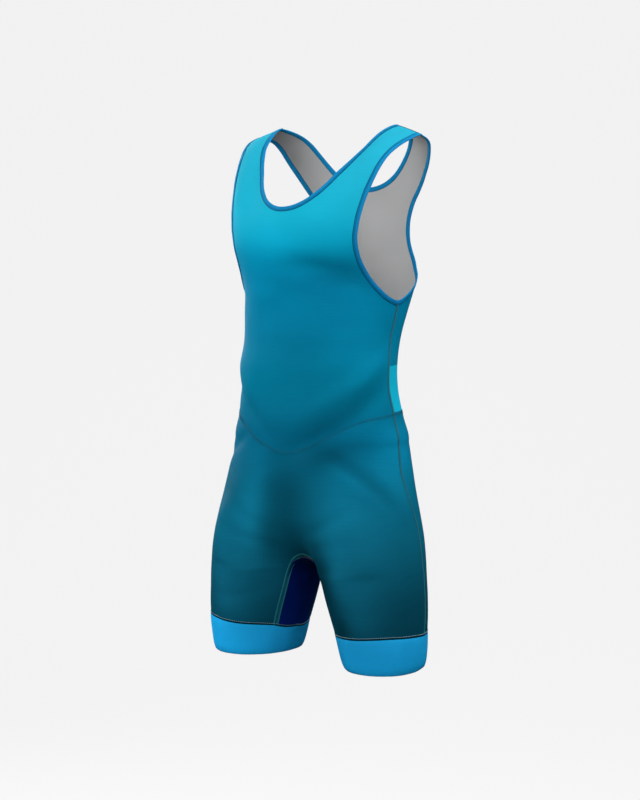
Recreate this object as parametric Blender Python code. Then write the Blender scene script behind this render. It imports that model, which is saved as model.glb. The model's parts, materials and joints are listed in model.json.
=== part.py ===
"""A wrestling singlet, filled out as if worn, with nobody in it.

Metres, +Z up. The front faces -Y and the garment's left side is +X. The origin is midway between the
tops of the two straps, where the wearer's shoulders carry it.

Every piece is cut from one smooth figure. A place on the figure is written (turn, along). turn goes
round the body in degrees: 0 is the centre front, 90 the left side, 180 the centre back and -90 or 270
the right side. along is the height, and above the chest it is the length over the cloth.
"""

import math
from collections import namedtuple

import bpy
import numpy as np
from mathutils import Vector
from mathutils.geometry import delaunay_2d_cdt

# ---------------------------------------------------------------- driving dimensions, in metres
WALL = 0.0015  # knitted cloth
CUFF_WALL = 0.0020  # the leg bands are doubled
SEAM_GAP = 0.0003  # between two pieces that are sewn edge to edge
BINDING_WIDTH = 0.0080
BINDING_THICK = 0.0026  # folded over the cloth's edge, so it stands out on both sides
PANEL_STEP = 0.0200  # the size of a panel's triangles
EDGE_STEP = 0.0135  # between the points of a panel's edge
CUFF_TOP = -0.797
CUFF_HEM = -0.852
CUFF_ROWS = 3
CUFF_STATIONS = 40
GUSSET_COLUMNS = 6

# ---------------------------------------------------------------- the figure
# Level by level, the half-section of the figure on its left side. centre_x is where that half's own
# ellipse is centred: 0 in the trunk, and the middle of the leg further down. The two roundness values
# are of its front and its back: 2 is an ellipse, more is squarer. web fills the fork between the two
# halves, and turn is how far the leg's section is turned out, in degrees.
Section = namedtuple(
    "Section", "level centre_x centre_y half_width front back front_round back_round turn web"
)
SECTIONS = [
    Section(-0.860, 0.1242, -0.049, 0.0612, 0.0740, 0.0740, 2.1, 2.1, 18.0, 0.010),
    Section(-0.830, 0.1215, -0.049, 0.0665, 0.0795, 0.0795, 2.1, 2.1, 18.0, 0.010),
    Section(-0.800, 0.1185, -0.050, 0.0705, 0.0850, 0.0850, 2.1, 2.1, 18.0, 0.010),
    Section(-0.770, 0.1140, -0.050, 0.0750, 0.0900, 0.0900, 2.1, 2.1, 17.0, 0.012),
    Section(-0.740, 0.1085, -0.050, 0.0785, 0.0945, 0.0940, 2.1, 2.1, 14.0, 0.025),
    Section(-0.715, 0.1040, -0.050, 0.0800, 0.0990, 0.0970, 2.1, 2.1, 11.0, 0.050),
    Section(-0.690, 0.0980, -0.050, 0.0830, 0.1030, 0.1010, 2.1, 2.1, 8.0, 0.080),
    Section(-0.660, 0.0860, -0.050, 0.0905, 0.1070, 0.1050, 2.1, 2.1, 5.0, 0.085),
    Section(-0.620, 0.0640, -0.052, 0.1065, 0.1100, 0.1075, 2.1, 2.1, 2.0, 0.060),
    Section(-0.580, 0.0380, -0.052, 0.1250, 0.1075, 0.1110, 2.1, 2.1, 0.0, 0.030),
    Section(-0.540, 0.0150, -0.049, 0.1405, 0.1055, 0.1095, 2.15, 2.15, 0.0, 0.008),
    Section(-0.500, 0.0000, -0.046, 0.1485, 0.1025, 0.1015, 2.2, 2.2, 0.0, 0.000),
    Section(-0.460, 0.0000, -0.048, 0.1407, 0.0970, 0.0950, 2.2, 2.2, 0.0, 0.000),
    Section(-0.420, 0.0000, -0.053, 0.1342, 0.0940, 0.0915, 2.2, 2.2, 0.0, 0.000),
    Section(-0.380, 0.0000, -0.054, 0.1320, 0.0960, 0.0945, 2.2, 2.2, 0.0, 0.000),
    Section(-0.340, 0.0000, -0.046, 0.1305, 0.0970, 0.0990, 2.2, 2.2, 0.0, 0.000),
    Section(-0.300, 0.0000, -0.037, 0.1350, 0.1015, 0.1050, 2.2, 2.2, 0.0, 0.000),
    Section(-0.260, 0.0000, -0.030, 0.1420, 0.1110, 0.1095, 2.1, 2.3, 0.0, 0.000),
    Section(-0.235, 0.0000, -0.028, 0.1490, 0.1210, 0.1100, 2.0, 2.4, 0.0, 0.000),
    Section(-0.210, 0.0000, -0.025, 0.1580, 0.1310, 0.1090, 2.0, 2.55, 0.0, 0.000),
    Section(-0.180, 0.0000, -0.022, 0.1700, 0.1400, 0.1063, 2.05, 2.7, 0.0, 0.000),
]
COLUMNS = {name: np.array([getattr(row, name) for row in SECTIONS]) for name in Section._fields}
CHEST_LEVEL = SECTIONS[-1].level

# Above the chest level the front and the back lean in and meet along the shoulder line.
SHOULDER_HALF_WIDTH = 0.205
SHOULDER_DROP = 0.0533  # from the neck to the shoulder's point
NECK_SINE_SQUARED = 0.221  # where the shoulder line is level with the origin
RISE = 0.283  # along, from the chest level to the shoulder line
# How round the lean is at some turns: 2 is an ellipse, more is squarer.
Arch = namedtuple("Arch", "turn roundness")
ARCHES = np.array(
    [
        Arch(0.0, 1.66),
        Arch(15.0, 1.54),
        Arch(30.0, 1.48),
        Arch(45.0, 1.88),
        Arch(60.0, 2.16),
        Arch(115.0, 5.23),
        Arch(130.0, 4.64),
        Arch(145.0, 4.42),
        Arch(160.0, 4.76),
        Arch(180.0, 4.73),
    ]
)

FAR = 0.3  # further than any point of a section lies from its centre
FIGURE_RADIUS = 0.13  # turns an angle round the figure into a length, to lay a panel out flat
FLAT_SCALE = np.array([math.radians(1) * FIGURE_RADIUS, 1.0])

# ---------------------------------------------------------------- the cut
# Each outline is a smooth curve through its rows. Those on the centre line give the left half, and the
# right half is its mirror image.
Row = namedtuple("Row", "turn along")
FRONT_NECK = [
    Row(32.4, 0.103),
    Row(32.3, 0.085),
    Row(32.0, 0.06),
    Row(31.9, 0.035),
    Row(31.4, 0.012),
    Row(29.9, -0.01),
    Row(27.0, -0.04),
    Row(24.6, -0.06),
    Row(22.3, -0.08),
    Row(18.6, -0.101),
    Row(12.9, -0.119),
    Row(7.2, -0.128),
    Row(0.0, -0.1315),
]
BACK_NECK = [
    Row(147.6, 0.103),
    Row(145.0, 0.072),
    Row(141.8, 0.036),
    Row(139.8, 0.003),
    Row(139.5, -0.022),
    Row(141.6, -0.047),
    Row(144.3, -0.0605),
    Row(148.0, -0.0735),
    Row(152.5, -0.085),
    Row(160.0, -0.097),
    Row(170.0, -0.105),
    Row(180.0, -0.1075),
]
ARMHOLE_SIDE_ROW = 17  # this row of the armhole is the top of the side seam
ARMHOLE = [
    Row(50.0, 0.103),
    Row(52.0, 0.082),
    Row(53.6, 0.06),
    Row(54.0, 0.04),
    Row(53.8, 0.015),
    Row(53.4, -0.01),
    Row(53.3, -0.04),
    Row(53.1, -0.07),
    Row(52.3, -0.1),
    Row(51.3, -0.13),
    Row(50.4, -0.155),
    Row(50.2, -0.178),
    Row(51.8, -0.196),
    Row(55.0, -0.213),
    Row(61.0, -0.2325),
    Row(70.0, -0.2545),
    Row(80.0, -0.27),
    Row(88.5, -0.275),
    Row(97.0, -0.268),
    Row(104.5, -0.258),
    Row(112.5, -0.247),
    Row(119.5, -0.237),
    Row(126.0, -0.227),
    Row(130.7, -0.215),
    Row(134.5, -0.203),
    Row(137.2, -0.19),
    Row(138.8, -0.17),
    Row(138.3, -0.15),
    Row(136.3, -0.132),
    Row(133.6, -0.117),
    Row(130.5, -0.104),
    Row(127.3, -0.0895),
    Row(124.2, -0.074),
    Row(121.3, -0.058),
    Row(119.6, -0.0426),
    Row(119.3, -0.026),
    Row(120.0, -0.01),
    Row(122.3, 0.012),
    Row(125.4, 0.04),
    Row(128.2, 0.07),
    Row(130.0, 0.103),
]
SIDE_HIP_ROW = 4  # this row of the side seam is where the hip seam crosses it
SIDE = [
    Row(88.5, -0.275),
    Row(89.0, -0.315),
    Row(90.0, -0.360),
    Row(90.0, -0.410),
    Row(90.0, -0.452),
    Row(89.5, -0.500),
    Row(90.0, -0.545),
    Row(95.0, -0.584),
    Row(103.0, -0.620),
    Row(106.0, -0.662),
    Row(103.5, -0.720),
    Row(100.0, CUFF_TOP),
]
FRONT_HIP = [
    Row(90.0, -0.452),
    Row(68.0, -0.459),
    Row(47.5, -0.476),
    Row(34.0, -0.491),
    Row(22.0, -0.501),
    Row(10.0, -0.508),
    Row(0.0, -0.511),
]
BACK_HIP = [
    Row(90.0, -0.452),
    Row(120.0, -0.452),
    Row(150.0, -0.459),
    Row(180.0, -0.463),
]
# The arch seams, front and back, in each leg's own directions: an angle round the centre of the
# section, with 0 to the front and -90 or 270 to the inner side.
Spoke = namedtuple("Spoke", "angle along")
FRONT_ARCH_SEAM = [
    Spoke(-56.0, CUFF_TOP),
    Spoke(-56.5, -0.750),
    Spoke(-57.0, -0.720),
    Spoke(-56.5, -0.705),
    Spoke(-56.0, -0.695),
    Spoke(-58.0, -0.689),
    Spoke(-61.5, -0.6857),
    Spoke(-64.5, -0.685),
]
BACK_ARCH_SEAM = [
    Spoke(231.0, CUFF_TOP),
    Spoke(230.0, -0.750),
    Spoke(228.0, -0.720),
    Spoke(227.0, -0.705),
    Spoke(227.5, -0.695),
    Spoke(230.5, -0.689),
    Spoke(234.5, -0.6857),
    Spoke(237.7, -0.685),
]


def through(levels, values, at):
    """A smooth curve through the table's values, read at some levels (cubic, with the chords' slopes)."""
    slopes = np.gradient(values, levels)
    at = np.clip(at, levels[0], levels[-1])
    i = np.clip(np.searchsorted(levels, at) - 1, 0, len(levels) - 2)
    width = levels[i + 1] - levels[i]
    s = (at - levels[i]) / width
    return (
        values[i] * (1 + 2 * s) * (1 - s) ** 2
        + slopes[i] * width * s * (1 - s) ** 2
        + values[i + 1] * s**2 * (3 - 2 * s)
        + slopes[i + 1] * width * s**2 * (s - 1)
    )


def column(name, level):
    return through(COLUMNS["level"], COLUMNS[name], level)


def outside(x, y, level):
    """How far a point lies outside the figure's section, in metres; below 0 inside."""
    width = column("half_width", level)
    turn = np.radians(column("turn", level))
    gaps = []
    for side in (1, -1):
        dx = side * x - column("centre_x", level)
        dy = y - column("centre_y", level)
        across = dx * np.cos(turn) + dy * np.sin(turn)
        deep = dy * np.cos(turn) - dx * np.sin(turn)
        depth = np.where(deep < 0, column("front", level), column("back", level))
        roundness = np.where(deep < 0, column("front_round", level), column("back_round", level))
        reach = (np.abs(across / width) ** roundness + np.abs(deep / depth) ** roundness) ** (1 / roundness)
        gaps.append((reach - 1) * width)
    web = np.maximum(column("web", level), 1e-6)
    blend = np.maximum(web - np.abs(gaps[0] - gaps[1]), 0) / web
    return np.minimum(*gaps) - blend**2 * web / 4


def root(inside_at, low, high, steps=40):
    """Where a function turns from below 0 to above 0, between low and high."""
    for _ in range(steps):
        middle = (low + high) / 2
        inner = inside_at(middle) < 0
        low, high = np.where(inner, middle, low), np.where(inner, high, middle)
    return (low + high) / 2


def centre_angles(level):
    """From the half's centre, the directions of the centre front and the centre back. In a leg these
    are both its inner side."""
    cx, cy = column("centre_x", level), column("centre_y", level)
    zero = np.zeros_like(level)
    forked = outside(zero, cy, level) > 0
    front = root(lambda r: outside(zero, cy - r, level), zero, zero + FAR)
    back = root(lambda r: outside(zero, cy + r, level), zero, zero + FAR)
    to_front = np.where(forked, -90, -np.degrees(np.arctan2(cx, front)))
    to_back = np.where(forked, 270, 180 + np.degrees(np.arctan2(cx, back)))
    return to_front, to_back


def trunk_point(turn_q, level):
    """A point of the trunk or leg. turn_q is 0 at the centre front, 90 at the side, 180 at the back."""
    side, q = np.where(turn_q < 0, -1.0, 1.0), np.abs(turn_q)
    to_front, to_back = centre_angles(level)
    angle = np.radians(
        np.where(q < 90, to_front + (90 - to_front) * q / 90, 90 + (to_back - 90) * (q - 90) / 90)
    )
    cx, cy = column("centre_x", level), column("centre_y", level)
    out_x, out_y = np.sin(angle), -np.cos(angle)
    zero = np.zeros_like(level)
    to_middle = np.where(out_x < -1e-9, cx / np.maximum(-out_x, 1e-9), FAR)
    radius = root(lambda r: outside(cx + r * out_x, cy + r * out_y, level), zero, np.minimum(FAR, to_middle))
    return np.stack([side * (cx + radius * out_x), cy + radius * out_y, level], -1)


def figure(turn, along):
    """A point of the figure."""
    turn, along = np.broadcast_arrays(np.asarray(turn, float), np.asarray(along, float))
    turn = (turn + 180) % 360 - 180
    base = trunk_point(turn, np.minimum(along, CHEST_LEVEL))
    lean = np.radians(90) * np.clip((along - CHEST_LEVEL) / RISE, 0, 1.2)
    power = through(ARCHES[:, 0], ARCHES[:, 1], np.abs(turn))
    reach = (np.abs(np.cos(lean)) ** power + np.sin(lean) ** power) ** (-1 / power)
    over, up = reach * np.cos(lean), reach * np.sin(lean)
    sine = np.sin(np.radians(turn))
    ridge_x = SHOULDER_HALF_WIDTH * sine
    ridge_z = SHOULDER_DROP * (NECK_SINE_SQUARED - sine**2)
    x = base[..., 0] + (ridge_x - base[..., 0]) * (1 - over)
    y = base[..., 1] * over
    z = base[..., 2] + (ridge_z - base[..., 2]) * up
    return np.stack([x, y, np.where(along > CHEST_LEVEL, z, along)], -1)


def unit(vectors):
    return vectors / np.linalg.norm(vectors, axis=-1, keepdims=True)


def surface(places):
    """The figure's points at some places, the outward normals, and how a point moves with a place."""
    turn, along = places.T
    turn_step, along_step = 0.05, 0.0002
    by_turn = (figure(turn + turn_step, along) - figure(turn - turn_step, along)) / (2 * turn_step)
    by_along = (figure(turn, along + along_step) - figure(turn, along - along_step)) / (2 * along_step)
    return figure(turn, along), unit(np.cross(by_turn, by_along)), np.stack([by_turn, by_along], -1)


def slide(places, moves):
    """The places moved over the figure by short vectors in space, to the nearest points of it."""
    goals = figure(*places.T) + moves
    for _ in range(3):
        spots, _, jacobians = surface(places)
        steps = [np.linalg.lstsq(j, m, rcond=None)[0] for j, m in zip(jacobians, goals - spots)]
        places = places + np.array(steps)
    return places


# ---------------------------------------------------------------- outlines
def bend(rows, first=0, last=None):
    """Many places on the smooth curve through a table's rows, from one row to another."""
    rows = np.array(rows, float)
    steps = np.linalg.norm(np.diff(rows, axis=0) * FLAT_SCALE, axis=1)
    lengths = np.concatenate([[0], np.cumsum(steps)])
    at = lengths[first : None if last is None else last + 1]
    fine = [np.linspace(a, b, 24, endpoint=False) for a, b in zip(at[:-1], at[1:])]
    fine = np.concatenate(fine + [at[-1:]])
    return np.stack([through(lengths, rows[:, 0], fine), through(lengths, rows[:, 1], fine)], -1)


def mirrored(places, centre=0):
    """The same curve on the other side of the centre front (0) or of the centre back (180)."""
    return np.stack([2 * centre - places[:, 0], places[:, 1]], -1)[::-1]


def across(rows, centre):
    """The whole curve of a table that ends on the centre line."""
    rows = np.array(rows, float)
    return bend(np.concatenate([rows, mirrored(rows, centre)[1:]]))


def arch_seam(spokes, centre):
    """The whole curve of an arch seam, as places on the figure."""
    half = bend(spokes)
    to_front, to_back = centre_angles(half[:, 1])
    if centre == 0:
        turns = 90 * (half[:, 0] - to_front) / (90 - to_front)
    else:
        turns = 90 + 90 * (half[:, 0] - 90) / (to_back - 90)
    turns[-1] = centre
    half = np.stack([turns, half[:, 1]], -1)
    return np.concatenate([half, mirrored(half, centre)[1:]])


def stations(curve):
    """Places along a curve that lie an even length apart over the cloth."""
    spots = figure(curve[:, 0], curve[:, 1])
    lengths = np.concatenate([[0], np.cumsum(np.linalg.norm(np.diff(spots, axis=0), axis=1))])
    count = 2 * max(1, round(lengths[-1] / EDGE_STEP / 2))
    even = np.linspace(0, lengths[-1], count + 1)
    return np.stack([np.interp(even, lengths, curve[:, 0]), np.interp(even, lengths, curve[:, 1])], -1)


def level_line(from_turn, to_turn, along):
    """A curve at one height, from one turn to another."""
    turns = np.linspace(from_turn, to_turn, 60)
    return np.stack([turns, np.full_like(turns, along)], -1)


def inwards_moves(spots, normals, distances):
    """For a closed outline, counter-clockwise from outside, the vectors that move each point inwards.
    distances[i] is how far the edge from point i to the next one moves."""
    edges = np.roll(spots, -1, 0) - spots
    moves = []
    for i, normal in enumerate(normals):
        before, after = unit(np.cross(normal, edges[i - 1])), unit(np.cross(normal, edges[i]))
        system = np.array([before, after, normal])
        moves.append(np.linalg.lstsq(system, [distances[i - 1], distances[i], 0], rcond=0.03)[0])
    return np.array(moves)


# ---------------------------------------------------------------- making meshes
def cloth_material(name, colour, roughness):
    """A knitted cloth; the colour is linear red, green and blue."""
    material = bpy.data.materials.new(name)
    material.use_nodes = True
    shader = material.node_tree.nodes["Principled BSDF"]
    shader.inputs["Base Color"].default_value = (*colour, 1.0)
    shader.inputs["Roughness"].default_value = roughness
    shader.inputs["Metallic"].default_value = 0.0
    return material


def add_object(name, vertices, faces, material):
    mesh = bpy.data.meshes.new(name)
    mesh.from_pydata([tuple(map(float, v)) for v in vertices], [], faces)
    mesh.materials.append(material)
    mesh.shade_smooth()
    mesh.set_sharp_from_angle(angle=math.radians(50))
    piece = bpy.data.objects.new(name, mesh)
    bpy.context.scene.collection.objects.link(piece)
    return piece


def add_wall(name, spots, normals, faces, thickness, material):
    """A closed wall of cloth round a sheet of points. The faces are counter-clockwise from outside."""
    count = len(spots)
    vertices = np.concatenate([spots + normals * thickness / 2, spots - normals * thickness / 2])
    edges = {(face[i - 1], face[i]) for face in faces for i in range(len(face))}
    rim = [(b, a, a + count, b + count) for a, b in sorted(edges) if (b, a) not in edges]
    inner = [tuple(v + count for v in reversed(face)) for face in faces]
    return add_object(name, vertices, list(faces) + inner + rim, material)


def level_rims(spots, normals, level):
    """Turns the normals level at the points of a level edge, so that its rim is flat."""
    normals = normals.copy()
    at_edge = np.abs(spots[:, 2] - level) < 2 * SEAM_GAP
    normals[at_edge, 2] = 0
    return unit(normals)


def lattice(outline, step):
    """Points of a triangular lattice inside an outline and clear of it, in the flat."""
    centre = (outline[:, 0].min() + outline[:, 0].max()) / 2
    half_columns = math.ceil((outline[:, 0].max() - centre) / step) + 1
    row_height = step * math.sqrt(3) / 2
    points = []
    for row in range(math.ceil(np.ptp(outline[:, 1]) / row_height)):
        height = outline[:, 1].min() + (row + 0.5) * row_height
        for column_number in range(-half_columns, half_columns + 1):
            points.append((centre + (column_number + 0.5 * (row % 2)) * step, height))
    points = np.array(points)
    start, end = outline, np.roll(outline, -1, 0)
    run = end - start
    rel = points[:, None] - start[None]
    share = np.clip((rel * run).sum(-1) / (run**2).sum(-1), 0, 1)
    clearance = np.linalg.norm(rel - share[..., None] * run, axis=-1).min(1)
    crosses = (start[:, 1] > points[:, 1, None]) != (end[:, 1] > points[:, 1, None])
    with np.errstate(divide="ignore", invalid="ignore"):
        crossing_x = start[:, 0] + (points[:, 1, None] - start[:, 1]) * run[:, 0] / run[:, 1]
    inside = (crosses & (points[:, 0, None] < crossing_x)).sum(1) % 2 == 1
    return points[inside & (clearance > 0.6 * step)]


def add_panel(name, edges, material):
    """A panel of cloth. edges lists its outline, counter-clockwise from outside: each edge's stations,
    and how far the cloth stops short of them."""
    outline = np.concatenate([places[:-1] for places, _ in edges])
    distances = np.concatenate([[short] * (len(places) - 1) for places, short in edges])
    spots, normals, _ = surface(outline)
    outline = slide(outline, inwards_moves(spots, normals, distances))
    flat = outline * FLAT_SCALE
    flat = np.concatenate([flat, lattice(flat, PANEL_STEP)])
    border = list(range(len(outline)))
    flat, _, faces, _, _, _ = delaunay_2d_cdt([Vector(p) for p in flat], [], [border], 1, 1e-7)
    spots, normals, _ = surface(np.array(flat) / FLAT_SCALE)
    normals = level_rims(spots, normals, CUFF_TOP)
    return add_wall(name, spots, normals, [tuple(face) for face in faces], WALL, material)


def add_grid_wall(name, grid, normals, closed, thickness, material):
    """A wall round a grid of points, whose rows go down and whose columns go to the right, seen from
    outside. closed joins the last column to the first."""
    rows, columns = grid.shape[:2]
    faces = []
    for row in range(rows - 1):
        for left in range(columns if closed else columns - 1):
            right = (left + 1) % columns
            faces.append(
                (
                    row * columns + left,
                    (row + 1) * columns + left,
                    (row + 1) * columns + right,
                    row * columns + right,
                )
            )
    return add_wall(name, grid.reshape(-1, 3), normals.reshape(-1, 3), faces, thickness, material)


def outward(spots):
    """The normals of the trunk and legs, from how fast a point leaves the figure."""
    step = 0.0002
    slopes = []
    for axis in np.eye(3):
        ahead, behind = spots + step * axis, spots - step * axis
        slopes.append(outside(*np.moveaxis(ahead, -1, 0)) - outside(*np.moveaxis(behind, -1, 0)))
    return unit(np.stack(slopes, -1))


def add_cuff(name, side, material):
    """A doubled band round one leg; side is 1 for the left and -1 for the right."""
    turns = np.arange(CUFF_STATIONS) * 180 / CUFF_STATIONS
    levels = np.linspace(CUFF_TOP - SEAM_GAP / 2, CUFF_HEM, CUFF_ROWS + 1)
    grid = trunk_point(*np.broadcast_arrays(turns[None], levels[:, None]))
    normals = outward(grid)
    normals[..., 2] = 0
    if side < 0:
        flip = np.array([-1, 1, 1])
        grid, normals = grid[:, ::-1] * flip, normals[:, ::-1] * flip
    return add_grid_wall(name, grid, unit(normals), True, CUFF_WALL, material)


def under_crotch(fan, depth):
    """A point between the legs. fan is the angle from straight up to the left, seen from a line at the
    cuffs' top, and depth is y."""
    zero = np.zeros_like(fan)
    base = CUFF_TOP + SEAM_GAP / 2
    reach = root(
        lambda r: -outside(r * np.sin(fan), depth, base + r * np.cos(fan)), zero, zero + 0.17
    )
    return np.stack([reach * np.sin(fan), depth, base + reach * np.cos(fan)], -1)


def fan_of(spots):
    """The fan angle of points between the legs."""
    return np.arctan2(spots[:, 0], np.maximum(spots[:, 2] - CUFF_TOP - SEAM_GAP / 2, 0))


def add_gusset(name, front_spots, back_spots, material):
    """The piece from one cuff to the other, between matching points of the front and back arches."""
    fans = fan_of(front_spots)
    grid = []
    for fan, front, back in zip(fans, front_spots, back_spots):
        depths = np.linspace(front[1], back[1], 80)
        strip = under_crotch(np.full_like(depths, fan), depths)
        lengths = np.concatenate([[0], np.cumsum(np.linalg.norm(np.diff(strip, axis=0), axis=1))])
        even = np.linspace(SEAM_GAP / 2, lengths[-1] - SEAM_GAP / 2, GUSSET_COLUMNS + 1)
        even_depths = np.interp(even, lengths, depths)
        grid.append(under_crotch(np.full_like(even_depths, fan), even_depths))
    grid = np.array(grid)
    normals = outward(grid)
    normals[[0, -1], :, 2] = 0
    return add_grid_wall(name, grid, unit(normals), False, WALL, material)


def add_binding(name, loop, material):
    """A folded strip round an opening. loop is the opening's edge, with the cloth on its left."""
    spots, normals, _ = surface(loop)
    tangents = unit(np.roll(spots, -1, 0) - np.roll(spots, 1, 0))
    into_cloth = unit(np.cross(normals, tangents))
    far_edge = slide(loop, into_cloth * BINDING_WIDTH)
    far_spots = figure(far_edge[:, 0], far_edge[:, 1])
    middles, wide = (spots + far_spots) / 2, unit(far_spots - spots)
    thick = unit(np.cross(tangents, wide))
    half_width, half_thick = BINDING_WIDTH / 2, BINDING_THICK / 2
    shoulder = half_width - 0.4 * BINDING_THICK
    outline = [
        (half_width, 0),
        (shoulder, half_thick),
        (-shoulder, half_thick),
        (-half_width, 0),
        (-shoulder, -half_thick),
        (shoulder, -half_thick),
    ]
    vertices = [m + w * a + t * b for m, w, t in zip(middles, wide, thick) for a, b in outline]
    sides, count = len(outline), len(loop)
    faces = []
    for i in range(count):
        here, after = i * sides, (i + 1) % count * sides
        for k in range(sides):
            following = (k + 1) % sides
            faces.append((here + k, here + following, after + following, after + k))
    return add_object(name, vertices, faces, material)


# ---------------------------------------------------------------- the garment
def main():
    for leftover in list(bpy.data.objects):
        bpy.data.objects.remove(leftover)

    upper_cloth = cloth_material("upper_knit", (0.010, 0.235, 0.390), 0.55)
    lower_cloth = cloth_material("lower_knit", (0.010, 0.115, 0.185), 0.60)
    gusset_cloth = cloth_material("gusset_knit", (0.004, 0.016, 0.085), 0.65)
    cuff_cloth = cloth_material("cuff_knit", (0.022, 0.260, 0.520), 0.55)
    binding_cloth = cloth_material("binding_knit", (0.016, 0.190, 0.430), 0.55)

    arm_front_left = stations(bend(ARMHOLE, 0, ARMHOLE_SIDE_ROW))
    arm_back_left = stations(bend(ARMHOLE, ARMHOLE_SIDE_ROW))
    side_upper = stations(bend(SIDE, 0, SIDE_HIP_ROW))
    side_lower = stations(bend(SIDE, SIDE_HIP_ROW))
    front_neck, back_neck = stations(across(FRONT_NECK, 0)), stations(across(BACK_NECK, 180))
    front_hip, back_hip = stations(across(FRONT_HIP, 0)), stations(across(BACK_HIP, 180))
    shoulder_front = stations(level_line(ARMHOLE[0].turn, FRONT_NECK[0].turn, ARMHOLE[0].along))
    shoulder_back = np.stack([180 - shoulder_front[:, 0], shoulder_front[:, 1]], -1)

    front_arch = stations(arch_seam(FRONT_ARCH_SEAM, 0))
    front_arch_spots = figure(*front_arch.T)
    back_curve = arch_seam(BACK_ARCH_SEAM, 180)
    back_fans = fan_of(figure(*back_curve.T))
    fans = fan_of(front_arch_spots)
    back_arch = np.stack([np.interp(-fans, -back_fans, values) for values in back_curve.T], -1)

    sewn, bound = SEAM_GAP / 2, BINDING_WIDTH + SEAM_GAP
    cuff_front = stations(level_line(front_arch[0, 0], side_lower[-1, 0], CUFF_TOP))
    cuff_back = stations(level_line(side_lower[-1, 0], back_arch[0, 0], CUFF_TOP))

    # Each outline goes counter-clockwise, seen from outside.
    add_panel(
        "front_body",
        [
            (front_hip[::-1], sewn),
            (side_upper[::-1], sewn),
            (arm_front_left[::-1], bound),
            (shoulder_front, sewn),
            (front_neck, bound),
            (mirrored(shoulder_front), sewn),
            (mirrored(arm_front_left[::-1]), bound),
            (mirrored(side_upper[::-1]), sewn),
        ],
        upper_cloth,
    )
    add_panel(
        "back_body",
        [
            (back_hip, sewn),
            (mirrored(side_upper, 180), sewn),
            (mirrored(arm_back_left[::-1], 180), bound),
            (mirrored(shoulder_back[::-1], 180), sewn),
            (back_neck[::-1], bound),
            (shoulder_back[::-1], sewn),
            (arm_back_left[::-1], bound),
            (side_upper, sewn),
        ],
        upper_cloth,
    )
    add_panel(
        "front_shorts",
        [
            (mirrored(cuff_front), sewn),
            (front_arch[::-1], sewn),
            (cuff_front, sewn),
            (side_lower[::-1], sewn),
            (front_hip, sewn),
            (mirrored(side_lower[::-1]), sewn),
        ],
        lower_cloth,
    )
    add_panel(
        "back_shorts",
        [
            (cuff_back, sewn),
            (back_arch, sewn),
            (mirrored(cuff_back, 180), sewn),
            (mirrored(side_lower, 180), sewn),
            (back_hip[::-1], sewn),
            (side_lower, sewn),
        ],
        lower_cloth,
    )
    add_gusset("gusset", front_arch_spots, figure(*back_arch.T), gusset_cloth)
    add_cuff("cuff_left", 1, cuff_cloth)
    add_cuff("cuff_right", -1, cuff_cloth)
    add_binding("neck_binding", np.concatenate([front_neck[:-1], back_neck[:0:-1]]), binding_cloth)
    add_binding(
        "armhole_binding_left",
        np.concatenate([arm_front_left[:0:-1], arm_back_left[:0:-1]]),
        binding_cloth,
    )
    add_binding(
        "armhole_binding_right",
        np.concatenate([mirrored(arm_front_left[::-1])[:-1], mirrored(arm_back_left[::-1], 180)[:-1]]),
        binding_cloth,
    )


main()
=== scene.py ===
# %% [markdown]
# # A wrestling singlet in Blender
#
# A singlet is one close-fitting piece of stretch knit: a scoop neck and deep armholes edged with
# folded binding, a body panel in front and behind, shorts joined to it at a curved hip seam, and a
# doubled band round each leg. Here it is filled out as if worn, with nobody in it.
#
# The measured frame comes first. It gives the plain solids of every sewn piece, and each piece
# below is a thinner, finer and more detailed copy of one of them in the same place.

import json
import math
from collections import namedtuple

import bpy
import numpy as np
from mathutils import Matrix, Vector
from mathutils.geometry import delaunay_2d_cdt

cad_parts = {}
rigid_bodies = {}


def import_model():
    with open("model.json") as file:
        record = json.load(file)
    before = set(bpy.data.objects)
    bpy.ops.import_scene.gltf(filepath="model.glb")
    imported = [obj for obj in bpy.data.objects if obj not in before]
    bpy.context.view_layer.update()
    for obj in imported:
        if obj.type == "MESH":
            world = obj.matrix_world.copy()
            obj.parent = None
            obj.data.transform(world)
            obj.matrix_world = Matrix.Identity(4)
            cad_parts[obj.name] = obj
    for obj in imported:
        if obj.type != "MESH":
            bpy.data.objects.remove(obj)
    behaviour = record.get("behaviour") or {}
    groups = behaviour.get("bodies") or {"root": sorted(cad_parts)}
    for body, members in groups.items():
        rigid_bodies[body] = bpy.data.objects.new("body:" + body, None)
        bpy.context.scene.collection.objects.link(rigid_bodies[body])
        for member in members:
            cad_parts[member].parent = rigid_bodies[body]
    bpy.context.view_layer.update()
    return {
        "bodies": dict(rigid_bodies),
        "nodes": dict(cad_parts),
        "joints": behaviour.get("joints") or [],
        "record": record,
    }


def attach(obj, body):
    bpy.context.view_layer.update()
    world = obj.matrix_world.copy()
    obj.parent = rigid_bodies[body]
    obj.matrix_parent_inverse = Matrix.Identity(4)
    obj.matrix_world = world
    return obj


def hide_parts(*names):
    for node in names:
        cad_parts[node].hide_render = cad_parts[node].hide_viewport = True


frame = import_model()

# %% [markdown]
# ## Camera
#
# The garment is seen from the front and 35 degrees to its left, a little from above. An 85 mm lens
# three metres away keeps the perspective mild, as a catalogue picture does. The camera looks along
# a vector, and `to_track_quat` turns that vector into a rotation, which is safer than typing
# angles.

# %% The camera
CAMERA_AZIMUTH = math.radians(35)
CAMERA_PITCH = math.radians(5.6)
CAMERA_AIM = Vector((0.0, -0.050, -0.143))
CAMERA_DISTANCE = 3.0

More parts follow.
